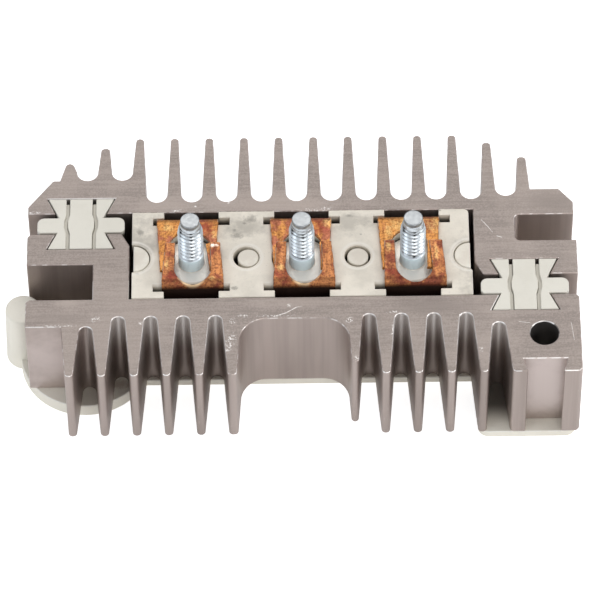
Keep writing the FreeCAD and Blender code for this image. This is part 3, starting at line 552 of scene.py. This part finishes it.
copperSet = {
    "golden": {"tone": (0.60, 0.272, 0.08), "red": (0.44, 0.16, 0.09), "pit": (0.18, 0.06, 0.025)},
    "red": {"tone": (0.53, 0.22, 0.085), "red": (0.27, 0.08, 0.045), "pit": (0.12, 0.038, 0.026)},
    "blush": (0.24, 0.04, 0.032),
    # Painted shade on the legs where they dip into the block.
    "legShade": (0.05, 0.026, 0.02),
    "gold": (0.86, 0.60, 0.24),
    "lip": (0.95, 0.70, 0.42),
    "bright": (0.92, 0.84, 0.74),
    "rough": 0.42,
    "metallic": 0.9,
    "patchScale": 330.0, "pitScale": 2400.0, "streakScale": 900.0, "blushScale": 700.0, "goldScale": 1200.0,
    "rimScale": 600.0, "glintScale": 2600.0, "dentScale": 420.0,
    "blushShare": 0.85, "goldShare": 0.55, "pitShare": 0.6, "rimShare": 0.8,
    "lipReach": (3.4, 1.8, 3.0), "lipScale": 300.0,
    "lipWidth": 0.34, "legShadeTop": 0.9, "legShadeFloor": 1.9, "relief": 0.12,  # mm
}


def mottledCopper(name, tones, values):
    # Copper gone patchy and pitted, streaked along its prongs, with painted golden highlights and painted
    # shade where it dips into the block.
    look = copperSet
    finish, tree, shader, coordinates = newFinish(name)
    shift = (0.013 * values["seed"], 0.007 * values["seed"], 0)
    field = put(tree, "ShaderNodeMapping", {"Vector": coordinates, "Location": shift}).outputs[0]
    patches = place(
        tree, blotches, Coordinates=field,
        Scale=look["patchScale"], Threshold=values["redFrom"], Softness=0.12,
    )
    pits = place(tree, blotches, Coordinates=field, Scale=look["pitScale"], Threshold=0.47, Softness=0.14)
    streaks = place(
        tree, directedGrain, Coordinates=field, Stretch=(1.0, 0.16, 1.0), Scale=look["streakScale"],
    )
    tone = blend(tree, patches, tones["tone"], tones["red"])
    tone = blend(tree, ease(tree, streaks, 0.45, 0.75, 0.0, 0.4), tone, tones["pit"])
    blush = spotsMask(tree, coordinates, values["blushes"], look["blushScale"])
    tone = tint(tree, blush, look["blushShare"], tone, look["blush"])
    # Painted golden highlights.
    if values["goldHighlights"]:
        lit = spotsMask(tree, coordinates, values["goldHighlights"], look["goldScale"])
        tone = tint(tree, lit, look["goldShare"], tone, look["gold"])
    tone = tint(tree, pits, look["pitShare"], tone, tones["pit"])
    if values["lip"]:
        middle, end, radius = values["lip"]
        ring = place(
            tree, collar, Coordinates=coordinates, Centre=Vector((middle, end, 0)) * mm,
            Radius=radius * mm, Width=look["lipWidth"] * mm,
        )
        nearEnd = ((middle, end - radius, values["top"]), look["lipReach"])
        near = spotsMask(tree, coordinates, (nearEnd,), look["lipScale"])
        tone = tint(tree, ring, near, tone, look["lip"])
    wornAndLit = place(
        tree, rimWearAndHighlight, Rim=readRim(tree), Coordinates=coordinates, Scale=look["rimScale"], Threshold=0.56,
    )
    bright = calc(tree, "MULTIPLY", wornAndLit, look["rimShare"])
    if values["glints"]:
        bright = anyOf(tree, [bright, spotsMask(tree, coordinates, values["glints"], look["glintScale"])])
    tone = blend(tree, bright, tone, look["bright"])
    # Painted shade down the legs where the strap dips into the block.
    legShade = place(
        tree, deepShade, Coordinates=coordinates,
        Top=(values["top"] - look["legShadeTop"]) * mm, Floor=(values["top"] - look["legShadeFloor"]) * mm,
    )
    tree.links.new(blend(tree, legShade, tone, look["legShade"]), shader.inputs["Base Color"])
    shader.inputs["Metallic"].default_value = look["metallic"]
    rough = ease(tree, streaks, 0.3, 0.7, look["rough"] - 0.1, look["rough"] + 0.14)
    tree.links.new(calc(tree, "MULTIPLY_ADD", legShade, 0.3, rough), shader.inputs["Roughness"])
    dents = noise(tree, field, look["dentScale"])
    bump(tree, shader, calc(tree, "MULTIPLY_ADD", streaks, 0.25, dents), look["relief"])
    return finish


zincSet = {
    "tone": (0.80, 0.86, 0.90),
    "dullAndShade": (0.62, 0.66, 0.68),
    # The next two darken the thread: painted shade in its grooves, and painted streaks of dark reflection.
    "groove": (0.34, 0.36, 0.37),
    "paintedDark": (0.03, 0.03, 0.03),
    # Neck and flange tones carry painted light, the neck also a painted sky-blue reflection.
    "neck": (0.80, 0.95, 1.0),
    "flange": (1.0, 0.97, 0.90),
    "tip": (0.385, 0.405, 0.415),
    "rough": 0.34,
}


def zincPlate(flangeTop, neckTop, tipBase):
    # Bright zinc on the thread, duller on the neck, the flange and the dog point, with painted shade and
    # painted dark reflections in the grooves and painted light on the neck and flange.
    finish, tree, shader, coordinates = newFinish("brightZincPlate")
    clouds = place(tree, blotches, Coordinates=coordinates, Scale=500.0, Threshold=0.4, Softness=0.3)
    tone = blend(tree, clouds, zincSet["tone"], zincSet["dullAndShade"])
    # Painted shade in the grooves, and painted streaks of dark reflection.
    for label, low, high in (("groove", 0.35, 1.0), ("paintedDark", 0.15, 0.75)):
        mark = put(tree, "ShaderNodeAttribute", attribute_name=label).outputs["Fac"]
        tone = blend(tree, ease(tree, mark, low, high), tone, zincSet[label])
    belowThread, belowNeck, belowTip = (
        place(tree, deepShade, Coordinates=coordinates, Top=top * mm, Floor=floor * mm)
        for top, floor in (
            (neckTop + 0.05, neckTop - 0.05), (flangeTop + 0.3, flangeTop), (tipBase + 0.4, tipBase),
        )
    )
    tone = blend(tree, belowTip, zincSet["tip"], tone)
    # Painted light on the neck and flange against the shade among the straps, the neck tinted as a painted
    # sky-blue reflection, the flange lightened towards cream.
    tone = blend(tree, belowThread, tone, zincSet["neck"])
    tone = blend(tree, belowNeck, tone, zincSet["flange"])
    tree.links.new(tone, shader.inputs["Base Color"])
    metallic = calc(tree, "MULTIPLY_ADD", belowThread, -0.88, 1.0)
    tree.links.new(calc(tree, "MULTIPLY_ADD", belowNeck, 0.4, metallic), shader.inputs["Metallic"])
    frost = noise(tree, coordinates, 1600.0)
    rough = ease(tree, frost, 0.25, 0.75, zincSet["rough"] - 0.08, zincSet["rough"] + 0.1)
    tree.links.new(calc(tree, "MULTIPLY_ADD", belowThread, 0.15, rough), shader.inputs["Roughness"])
    bump(tree, shader, frost, 0.015)
    return finish


cellSet = {"tone": (0.012, 0.006, 0.005), "shade": (0.026, 0.016, 0.014), "sheen": 0.12}


def sealedCell():
    finish, tree, shader, coordinates = newFinish("sealedCell")
    clouds = place(tree, blotches, Coordinates=coordinates, Scale=600.0, Threshold=0.4, Softness=0.3)
    tree.links.new(blend(tree, clouds, cellSet["tone"], cellSet["shade"]), shader.inputs["Base Color"])
    shader.inputs["Specular IOR Level"].default_value = cellSet["sheen"]
    grain = noise(tree, coordinates, 2000.0)
    tree.links.new(ease(tree, grain, 0.3, 0.7, 0.6, 0.8), shader.inputs["Roughness"])
    bump(tree, shader, grain, 0.02)
    return finish


def joinPiece(name, mesh, finish, slot, *replaced):
    piece = bpy.data.objects.new(name, mesh)
    scene.collection.objects.link(piece)
    mesh.materials.clear()
    mesh.materials.append(finish)
    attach(piece, "root")
    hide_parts(*replaced)


def sharpenByAngle(work, angle):
    for face in work.faces:
        face.smooth = True
    for edge in work.edges:
        edge.smooth = len(edge.link_faces) == 2 and edge.calc_face_angle() < angle


edgeSet = {
    "sink": 0.15, "block": 0.1, "plate": 0.15, "key": 0.1, "strap": 0.13, "cell": 0.08,  # mm
    "merge": 0.002,  # mm
    "flatAngle": 0.6, "outerAngle": 30, "sharpAngle": 28,
    "lit": 1.0, "level": 0.55, "hidden": 0.1,  # how much wear and painted highlight the rim attribute asks for
}


def breakEdges(nodeName, width, crown=None, litSide=-1, litFrom=-20.0, litTo=2.8):
    # The CAD solid with its loose triangles merged and every outer edge broken by a narrow flat.
    # Rim marks the flats for wear and painted highlight: those that look up, most of all those towards
    # litSide between two depths in mm.
    work = bmesh.new()
    work.from_mesh(nodes[nodeName].data)
    rim = work.faces.layers.float.new("rim")
    bmesh.ops.remove_doubles(work, verts=work.verts, dist=edgeSet["merge"] * mm)
    bmesh.ops.dissolve_limit(
        work, angle_limit=radians(edgeSet["flatAngle"]), verts=work.verts, edges=work.edges,
    )
    if crown:
        level, beyond, reach = (value * mm for value in crown)
        ring = [
            edge for edge in work.edges
            if all(abs(vertex.co.z - level) < 0.01 * mm and vertex.co.x < beyond for vertex in edge.verts)
        ]
        bmesh.ops.bevel(
            work, geom=ring, offset=reach, offset_type="OFFSET", segments=4, profile=0.5,
            affect="EDGES", clamp_overlap=False,
        )
    outer = [
        edge for edge in work.edges
        if len(edge.link_faces) == 2 and edge.calc_face_angle_signed(0) > radians(edgeSet["outerAngle"])
    ]
    broken = bmesh.ops.bevel(
        work, geom=outer, offset=width * mm, offset_type="OFFSET", segments=1,
        profile=0.5, affect="EDGES", clamp_overlap=False, loop_slide=True,
    )
    work.normal_update()
    for face in broken["faces"]:
        depth = face.calc_center_median().y / mm
        facing = face.normal.y * litSide
        if face.normal.z < 0.2 or facing < -0.2:
            face[rim] = edgeSet["hidden"]
        elif facing > 0.4 and litFrom < depth < litTo:
            face[rim] = edgeSet["lit"]
        else:
            face[rim] = edgeSet["level"]
    sharpenByAngle(work, radians(edgeSet["sharpAngle"]))
    mesh = bpy.data.meshes.new(nodeName)
    work.to_mesh(mesh)
    work.free()
    return mesh


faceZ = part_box("ground_heat_sink")[1][2] / mm
sinkSet = {
    "positive": {
        "finGaps": ((-92.0, -1.0, 31.5, 45.0, 2.0),),
        # Painted light and painted shade patches on the sawn face, each a centre and reach in mm.
        "paintedLight": (((-52.0, 30.5, faceZ), (17.0, 3.4, 4.0)), ((-70.0, 30.5, faceZ), (9.0, 2.4, 4.0))),
        "dullAndShade": (((-97.0, 27.0, faceZ), (8.0, 7.0, 4.0)), ((2.0, 30.0, faceZ), (8.0, 4.0, 4.0))),
        "paintedWallLight": (),
        "bore": 0.0,
        "marks": (
            ((-10.85, 26.1, faceZ), (-9.6, 24.4, faceZ), 0.09),
            ((-9.6, 24.4, faceZ), (-8.85, 23.2, faceZ), 0.07),
            ((-8.05, 22.3, faceZ), (-7.15, 22.0, faceZ), 0.12),
        ),
        "nicks": (
            ((-42.5, 28.95, faceZ), (2.8, 0.45, 0.5)), ((-40.0, 29.2, faceZ), (1.3, 0.5, 0.5)),
            ((-67.8, 29.0, faceZ), (1.9, 0.5, 0.5)), ((-94.6, 29.0, faceZ), (1.6, 0.35, 0.5)),
        ),
        "dents": (
            ((-64.35, 30.0, faceZ), (0.24, 0.24, 0.5)), ((-58.15, 30.8, faceZ), (0.28, 0.22, 0.5)),
            ((-95.2, 29.0, faceZ), (0.34, 0.2, 0.5)), ((-93.9, 28.9, faceZ), (0.28, 0.18, 0.5)),
        ),
    },
    "ground": {
        "finGaps": ((-84.3, -57.5, 2.5, -8.0, 10.5), (-33.0, -6.5, 2.5, -8.0, 10.5)),
        # Painted light and painted shade patches on the sawn face, each a centre and reach in mm.
        "paintedLight": (((-46.0, 7.6, faceZ), (9.0, 1.6, 4.0)), ((-88.0, 8.0, faceZ), (3.0, 1.2, 4.0))),
        "dullAndShade": (((-88.0, 4.4, faceZ), (8.0, 2.0, 4.0)), ((-20.0, 6.4, faceZ), (10.0, 2.0, 4.0))),
        # Painted light on the shoe wall and the left shoulder wall.
        "paintedWallLight": (((0.0, -5.7, 14.0), (8.0, 1.5, 22.0)), ((-90.0, 2.6, 13.0), (9.0, 1.5, 16.0))),
        "bore": 2.9,
        "marks": (
            ((-49.85, 4.4, faceZ), (-47.6, 5.2, faceZ), 0.14),
            ((-47.6, 5.2, faceZ), (-45.6, 6.5, faceZ), 0.15),
            ((-45.6, 6.5, faceZ), (-44.6, 6.7, faceZ), 0.07),
            ((-4.6, 2.6, faceZ), (-2.6, 2.3, faceZ), 0.07),
            ((5.0, 2.2, faceZ), (5.4, -1.6, faceZ), 0.06),
        ),
        "nicks": (
            ((-46.9, 6.9, faceZ), (0.7, 0.5, 0.5)), ((-57.9, -0.8, faceZ), (1.1, 2.4, 0.5)),
            ((-57.4, 3.4, faceZ), (0.9, 1.0, 0.5)), ((-74.4, 3.3, faceZ), (0.6, 0.4, 0.5)),
            ((-79.3, 2.6, faceZ), (0.35, 2.2, 0.5)), ((-27.8, 0.6, faceZ), (0.5, 2.4, 0.5)),
            ((-27.6, 5.1, faceZ), (1.6, 0.35, 0.5)), ((-15.7, 1.0, faceZ), (0.4, 3.0, 0.5)),
            ((-11.8, -3.6, faceZ), (0.4, 0.8, 0.5)), ((-82.6, 4.2, faceZ), (1.2, 0.7, 0.5)),
            ((-35.8, 3.4, faceZ), (0.8, 0.6, 0.5)), ((-55.4, 4.6, faceZ), (1.2, 0.4, 0.5)),
            ((-34.6, -5.0, faceZ), (0.8, 0.8, 0.5)), ((-49.8, 4.6, faceZ), (4.0, 0.3, 0.5)),
            ((-89.5, 2.9, faceZ), (3.4, 0.3, 0.5)), ((-79.5, -6.0, faceZ), (2.4, 0.6, 0.5)),
        ),
        "dents": (
            ((-58.4, -3.1, faceZ), (0.5, 0.3, 0.5)), ((-46.9, 6.9, faceZ), (0.16, 0.14, 0.5)),
            ((-27.9, 1.2, faceZ), (0.16, 0.7, 0.5)), ((-74.5, 3.3, faceZ), (0.3, 0.14, 0.5)),
            ((-15.5, 4.3, faceZ), (0.14, 0.3, 0.5)),
        ),
    },
}


def buildSinks():
    for side in ("positive", "ground"):
        node = f"{side}_heat_sink"
        finish = sawnAluminium(f"sawnAluminium{side.title()}", sinkSet[side])
        joinPiece(f"finned_{side}_sink", breakEdges(node, edgeSet["sink"]), finish, "sink", node)
    print("sinks dressed")


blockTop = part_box("terminal_block")[1][2] / mm
pegDepth = 17.95  # mm, the line of the pegs and the studs
pegPlaces = (-75.85, -54.85, -34.15, -13.15)  # mm, the outer two are half pegs
creamSet = {
    "block": {
        "tone": (0.83, 0.768, 0.655), "shade": (0.67, 0.62, 0.525), "stain": (0.22, 0.20, 0.17),
        "rubbed": (0.90, 0.86, 0.78), "speckle": 0.2, "cloudScale": 170.0, "rough": 0.5,
        "stainsAndShade": (
            ((-56.4, 23.0, blockTop), (1.3, 0.9, 1.0)), ((-54.1, 26.6, blockTop), (1.7, 1.0, 1.0)),
            ((-74.6, 24.0, blockTop), (0.8, 0.8, 1.0)), ((-75.1, 14.4, blockTop), (0.5, 0.3, 1.0)),
            ((-35.3, 27.2, blockTop), (1.0, 0.5, 1.0)), ((-33.5, 22.9, blockTop), (0.35, 0.3, 1.0)),
            ((-57.1, 10.9, blockTop), (0.8, 0.5, 1.0)), ((-18.7, 28.3, blockTop), (0.9, 0.25, 1.0)),
            ((-57.0, 24.2, blockTop), (0.5, 0.5, 1.0)), ((-55.2, 25.8, blockTop), (0.5, 0.3, 1.0)),
            ((-77.2, 19.8, blockTop), (0.4, 1.2, 1.0)),
        ),
        "greys": (
            ((-55.8, 25.0, blockTop), (4.5, 3.4, 3.0)), ((-75.0, 23.6, blockTop), (5.0, 8.0, 3.0)),
            ((-35.0, 26.0, blockTop), (6.0, 3.0, 3.0)), ((-13.6, 17.0, blockTop), (3.0, 8.0, 3.0)),
        ),
        "greyed": 0.43,
        "collars": [((x, pegDepth), radius) for x, radius in zip(pegPlaces, (3.7, 3.0, 3.0, 3.7))],
        # Painted shade on the pocket walls below the block's top.
        "deep": (blockTop - 0.3, blockTop - 2.6), "deepTone": (0.03, 0.024, 0.02),
        "finGaps": (),
    },
    "key": {
        "tone": (0.745, 0.715, 0.625), "shade": (0.69, 0.66, 0.57), "stain": (0.42, 0.39, 0.34),
        "rubbed": (0.84, 0.82, 0.75), "speckle": 0.08, "cloudScale": 120.0, "rough": 0.42,
        "stainsAndShade": (), "greys": (), "greyed": 0.0, "collars": (),
        # Painted shade in the gaps below the keys' top.
        "deep": (faceZ - 0.25, faceZ - 1.6), "deepTone": (0.05, 0.04, 0.034),
        "finGaps": (),
    },
    "plate": {
        "tone": (0.88, 0.84, 0.73), "shade": (0.80, 0.755, 0.65), "stain": (0.46, 0.36, 0.28),
        "rubbed": (0.90, 0.88, 0.82), "speckle": 0.1, "cloudScale": 70.0, "rough": 0.48,
        # A spot of painted shade, a warm brown tint between the fins at the left.
        "stainsAndShade": (((-78.5, 3.2, 3.1), (6.0, 1.4, 2.0)),),
        "greys": [((x, pegDepth, blockTop - 0.4), (4.2, 4.2, 2.0)) for x in pegPlaces],
        "greyed": 0.3, "collars": (),
        # Painted shade low on the plate and between the fins over its foot.
        "deep": (-1.0, -2.0), "deepTone": (0.06, 0.047, 0.038),
        "finGaps": ((-12.1, -5.0, -2.0, -7.0, 5.0),),
    },
}


postCrown = (faceZ - 8.3, -93.0, 0.5)  # mm: level of the post's top, what it lies beyond, and its round


def buildMouldings():
    cream = {kind: creamMoulding(f"{kind}Cream", values) for kind, values in creamSet.items()}
    block = breakEdges("terminal_block", edgeSet["block"])
    joinPiece("station_block", block, cream["block"], "insulator", "terminal_block")
    plate = breakEdges("rear_plate", edgeSet["plate"], postCrown)
    joinPiece("back_plate", plate, cream["plate"], "insulator", "rear_plate")
    for side in ("left", "right"):
        for part in ("left_half", "wedge", "right_half"):
            name = f"{side}_key_{part}"
            joinPiece(f"cream_{name}", breakEdges(name, edgeSet["key"]), cream["key"], "key", name)
    print("mouldings dressed")


strapSet = {
    "positive": {
        "tones": "golden",
        "redFrom": (0.50, 0.40, 0.58),
        "slotGrowth": (0.9, 0.4, 0.0),
        "leans": (0.0, 0.0, 0.0),
        # Painted golden highlights per strap, each a centre and reach in mm.
        "goldHighlights": {
            1: (((-69.5, 24.5), (1.2, 1.4)), ((-60.8, 22.4), (0.7, 1.2))),
            2: (((-39.6, 25.4), (1.2, 1.6)),),
            3: (((-24.4, 24.6), (4.8, 2.6)), ((-19.6, 24.2), (1.5, 2.2)), ((-28.4, 23.0), (1.0, 2.0))),
        },
        "glints": {},
    },
    "ground": {
        "tones": "red",
        "redFrom": (0.50, 0.50, 0.44),
        "slotGrowth": (0.0, 0.0, 0.0),
        "leans": (0.0, 0.0, -0.55),
        # Painted golden highlights per strap, each a centre and reach in mm.
        "goldHighlights": {
            1: (((-69.7, 15.4), (0.5, 1.2)), ((-61.2, 12.1), (0.6, 0.5))),
            2: (((-49.7, 16.6), (0.35, 1.3)), ((-48.6, 14.5), (0.9, 0.9))),
            3: (((-28.4, 19.0), (0.7, 1.2)), ((-19.6, 17.6), (0.5, 2.0))),
        },
        "glints": {1: (((-61.1, 19.6), (1.3, 0.45)),)},
    },
}


strapForm = {
    "tabDepth": 1.3,  # mm, the flat tab's share of the height
    "slotHalf": 3.4,  # half the slot's width
    "leanHalf": 3.9,  # what lies further right keeps its place
    "lipEnd": 14.45, "lipRadius": 3.5,  # the bright lip of the slot's round end
}


def fitStrap(mesh, box, growth, lean):
    # Opens a strap's slot further on its right side, and leans its free tab sideways as it was bent.
    (left, near, _), (right, far, top) = box
    middle = (left + right) / 2
    tab = [vertex for vertex in mesh.vertices if vertex.co.z > top - strapForm["tabDepth"] * mm]
    for vertex in tab:
        offset = vertex.co.x - middle
        if 0 < offset < strapForm["slotHalf"] * mm:
            vertex.co.x += offset / strapForm["slotHalf"] * growth
        if offset < strapForm["leanHalf"] * mm:
            vertex.co.x += lean * mm * (vertex.co.y - near) / (far - near)


def buildStraps():
    for side, values in strapSet.items():
        for number, lean in zip((1, 2, 3), values["leans"]):
            name = f"{side}_strap_{number}"
            low, high = (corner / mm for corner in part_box(name))
            middle = (low[0] + high[0]) / 2
            top = high[2]
            lipped = side == "ground" and number < 3
            copper = mottledCopper(f"{values['tones']}Copper{number}", copperSet[values["tones"]], {
                "seed": number if side == "positive" else number + 4,
                "redFrom": values["redFrom"][number - 1],
                "top": top,
                "lip": (middle, strapForm["lipEnd"], strapForm["lipRadius"]) if lipped else None,
                "blushes": (
                    ((middle - 3.4, 12.6, top), (3.0, 2.0, 2.5)),
                    ((middle + 3.8, 24.5, top), (2.2, 2.6, 2.0)),
                ),
                "goldHighlights": [((*spot, top), (*reach, 1.0)) for spot, reach in values["goldHighlights"].get(number, ())],
                "glints": [((*spot, top), (*reach, 0.6)) for spot, reach in values["glints"].get(number, ())],
            })
            mesh = breakEdges(name, edgeSet["strap"], litSide=1, litFrom=0.0, litTo=40.0)
            fitStrap(mesh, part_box(name), values["slotGrowth"][number - 1], lean)
            joinPiece(f"copper_{name}", mesh, copper, "copper", name)
    print("straps dressed")


def buildCells():
    resin = sealedCell()
    for number in (1, 2, 3):
        for side in ("positive", "ground"):
            name = f"{side}_diode_{number}"
            joinPiece(f"cell_{name}", breakEdges(name, edgeSet["cell"]), resin, "cell", name)
    print("cells dressed")


studSet = {
    "shank": 2.415, "threadDepth": 0.56, "pitch": 1.058,  # mm, the shank, neck, flange and dog as radii
    "fadeTurns": 0.6, "leadTurns": 2.2,  # turns over which the ridge fades in at the neck and out at the tip
    "neck": 2.36, "neckHeight": 3.15,
    "flange": 5.3, "flangeThickness": 1.5,
    "height": 13.15,  # above the flange
    "dog": 1.78, "dogHeight": 1.0, "dogRound": 0.22,
    "rootWidth": 4.4, "rootLength": 6.0,
    "turnEach": 2.1,  # radians from one stud's thread start to the next
    # Angles and spread of the painted streaks of dark reflection in the thread's grooves.
    "darkStreakAngles": (-84, -152, 25, 118), "darkStreakSpread": 20,
    "stepsRound": 72,
    "sharpAngle": 62,
}


def buildThreadTree():
    tree = bpy.data.node_groups.new("rolledThread", "GeometryNodeTree")
    tree.is_modifier = True
    inputs = (
        ("Geometry", "Geometry"), ("Core Radius", "Float"), ("Depth", "Float"), ("Pitch", "Float"),
        ("Turns", "Float"), ("Fade Turns", "Float"), ("Lead Turns", "Float"),
        ("Steps Round", "Int"), ("Finish", "Material"),
    )
    for label, kind in inputs:
        tree.interface.new_socket(label, in_out="INPUT", socket_type=f"NodeSocket{kind}")
    tree.interface.new_socket("Geometry", in_out="OUTPUT", socket_type="NodeSocketGeometry")
    source = tree.nodes.new("NodeGroupInput").outputs
    height = calc(tree, "MULTIPLY", source["Turns"], source["Pitch"])
    spiral = put(tree, "GeometryNodeCurveSpiral", {
        "Resolution": source["Steps Round"], "Rotations": source["Turns"],
        "Start Radius": source["Core Radius"], "End Radius": source["Core Radius"], "Height": height,
    })
    level = put(tree, "GeometryNodeSetCurveNormal", {"Curve": spiral.outputs[0]}, mode="Z_UP")
    along = tree.nodes.new("GeometryNodeSplineParameter").outputs["Factor"]
    fromStart = calc(tree, "DIVIDE", calc(tree, "MULTIPLY", along, source["Turns"]), source["Fade Turns"])
    left = calc(tree, "SUBTRACT", 1.0, along)
    fromEnd = calc(tree, "DIVIDE", calc(tree, "MULTIPLY", left, source["Turns"]), source["Lead Turns"])
    fade = calc(tree, "MINIMUM", calc(tree, "MINIMUM", fromStart, fromEnd), 1.0)
    fade = calc(tree, "MAXIMUM", fade, 0.02)
    half = calc(tree, "MULTIPLY", source["Pitch"], 0.5)
    diamond = put(tree, "GeometryNodeCurvePrimitiveCircle", {"Resolution": 4, "Radius": half})
    ratio = calc(tree, "DIVIDE", source["Depth"], half)
    squash = put(tree, "ShaderNodeCombineXYZ", {0: ratio, 1: 1.0, 2: 1.0})
    ridge = put(tree, "GeometryNodeTransform", {"Geometry": diamond.outputs[0], "Scale": squash.outputs[0]})
    soft = put(tree, "GeometryNodeFilletCurve", {
        "Curve": ridge.outputs[0], "Radius": calc(tree, "MULTIPLY", source["Pitch"], 0.06), "Count": 2,
    }, mode="POLY")
    swept = put(tree, "GeometryNodeCurveToMesh", {
        "Curve": level.outputs[0], "Profile Curve": soft.outputs[0], "Fill Caps": True, "Scale": fade,
    })
    real = put(tree, "GeometryNodeRealizeInstances", {"Geometry": swept.outputs[0]})
    done = put(tree, "GeometryNodeSetMaterial", {"Geometry": real.outputs[0], "Material": source["Finish"]})
    tree.links.new(done.outputs[0], tree.nodes.new("NodeGroupOutput").inputs[0])
    return tree


def rollThread(finish, turns):
    carrier = bpy.data.objects.new("threadCarrier", bpy.data.meshes.new("threadCarrier"))
    scene.collection.objects.link(carrier)
    modifier = carrier.modifiers.new("rolledThread", "NODES")
    modifier.node_group = buildThreadTree()
    values = {
        "Core Radius": (studSet["shank"] - studSet["threadDepth"]) * mm,
        "Depth": studSet["threadDepth"] * mm,
        "Pitch": studSet["pitch"] * mm,
        "Turns": turns,
        "Fade Turns": studSet["fadeTurns"],
        "Lead Turns": studSet["leadTurns"],
        "Steps Round": studSet["stepsRound"],
        "Finish": finish,
    }
    for item in modifier.node_group.interface.items_tree:
        if item.in_out == "INPUT" and item.name in values:
            modifier[item.identifier] = values[item.name]
    ready = carrier.evaluated_get(bpy.context.evaluated_depsgraph_get())
    mesh = bpy.data.meshes.new_from_object(ready)
    bpy.data.objects.remove(carrier)
    return mesh


def roundCorner(before, corner, after, radius, steps=4):
    # Points of a soft corner, so that a turned edge catches a line of light.
    first = corner + (before - corner).normalized() * radius
    last = corner + (after - corner).normalized() * radius
    turns = [index / steps for index in range(steps + 1)]
    return [first.lerp(corner, t).lerp(corner.lerp(last, t), t) for t in turns]


def turnedProfile(base):
    # The turned body's outline from the flange's underside to the tip, as radius and height in mm.
    core = studSet["shank"] - studSet["threadDepth"]
    flangeTop = base + studSet["flangeThickness"]
    neckTop = flangeTop + studSet["neckHeight"]
    top = flangeTop + studSet["height"]
    dogBase = top - studSet["dogHeight"]
    corners = (  # radius, height and how soft the corner is
        (0, base, 0), (studSet["flange"], base, 0.15), (studSet["flange"], flangeTop, 0.3),
        (studSet["neck"], flangeTop, 0.15), (studSet["neck"], neckTop, 0.15), (core, neckTop + 0.25, 0),
        (core, dogBase - 0.1, 0), (studSet["dog"], dogBase, 0.1), (studSet["dog"], top, studSet["dogRound"]),
        (0, top, 0),
    )
    points = []
    for index, (radius, height, softness) in enumerate(corners):
        here = Vector((radius, height))
        if softness:
            before, after = (Vector(corners[index + way][:2]) for way in (-1, 1))
            points += roundCorner(before, here, after, softness)
        else:
            points.append(here)
    return points


def addSquare(work, half, low, high):
    # A closed square bar on the upright axis, as the root that keeps a stud from turning.
    square = [(-half, -half), (half, -half), (half, half), (-half, half)]
    rings = [[work.verts.new((x, y, z)) for x, y in square] for z in (low, high)]
    for ring in rings:
        work.faces.new(ring)
    for index in range(4):
        after = (index + 1) % 4
        work.faces.new((rings[0][index], rings[0][after], rings[1][after], rings[1][index]))


def markGrooves(work, groove, paintedDark, floor, ceiling):
    # Marks how deep each point of the thread lies, and where painted streaks of dark reflection lie in the
    # grooves.
    for vertex in work.verts:
        if floor < vertex.co.z / mm < ceiling:
            sunk = studSet["shank"] - hypot(vertex.co.x, vertex.co.y) / mm
            vertex[groove] = min(1.0, max(0.0, sunk / studSet["threadDepth"]))
            turn = degrees(atan2(vertex.co.y, vertex.co.x))
            nearest = min(abs((turn - angle + 180) % 360 - 180) for angle in studSet["darkStreakAngles"])
            vertex[paintedDark] = vertex[groove] * max(0.0, 1 - nearest / studSet["darkStreakSpread"])


def buildStuds():
    lowest, highest = (corner[2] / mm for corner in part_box("stator_stud_1"))
    base = lowest + studSet["rootLength"]
    flangeTop = base + studSet["flangeThickness"]
    neckTop = flangeTop + studSet["neckHeight"]
    dogBase = highest - studSet["dogHeight"]
    zinc = zincPlate(flangeTop, neckTop, dogBase)
    turns = (dogBase - neckTop - 0.2) / studSet["pitch"]
    thread = rollThread(zinc, turns)
    for number in (1, 2, 3):
        name = f"stator_stud_{number}"
        low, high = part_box(name)
        work = bmesh.new()
        work.from_mesh(thread)
        groove = work.verts.layers.float.new("groove")
        paintedDark = work.verts.layers.float.new("paintedDark")
        start = Matrix.Rotation(number * studSet["turnEach"], 3, "Z")
        bmesh.ops.translate(work, verts=work.verts, vec=(0, 0, (neckTop + 0.1) * mm))
        bmesh.ops.rotate(work, verts=work.verts, cent=(0, 0, 0), matrix=start)
        chain = [work.verts.new((point.x * mm, 0, point.y * mm)) for point in turnedProfile(base)]
        links = [work.edges.new(pair) for pair in zip(chain, chain[1:])]
        bmesh.ops.spin(
            work, geom=chain + links, cent=(0, 0, 0), axis=(0, 0, 1),
            angle=2 * pi, steps=studSet["stepsRound"],
        )
        addSquare(work, studSet["rootWidth"] / 2 * mm, lowest * mm, base * mm)
        bmesh.ops.remove_doubles(work, verts=work.verts, dist=0.003 * mm)
        bmesh.ops.recalc_face_normals(work, faces=work.faces)
        markGrooves(work, groove, paintedDark, neckTop + 0.2, dogBase - 0.15)
        bmesh.ops.translate(work, verts=work.verts, vec=((low[0] + high[0]) / 2, (low[1] + high[1]) / 2, 0))
        sharpenByAngle(work, radians(studSet["sharpAngle"]))
        mesh = bpy.data.meshes.new(name)
        work.to_mesh(mesh)
        work.free()
        joinPiece(f"zinc_{name}", mesh, zinc, "zinc", name)
    print("studs threaded:", round(turns, 1), "turns each")


setCamera()
setStudio()
addFloor()
print("camera, light and floor set")
buildSinks()
buildMouldings()
buildStraps()
buildCells()
buildStuds()
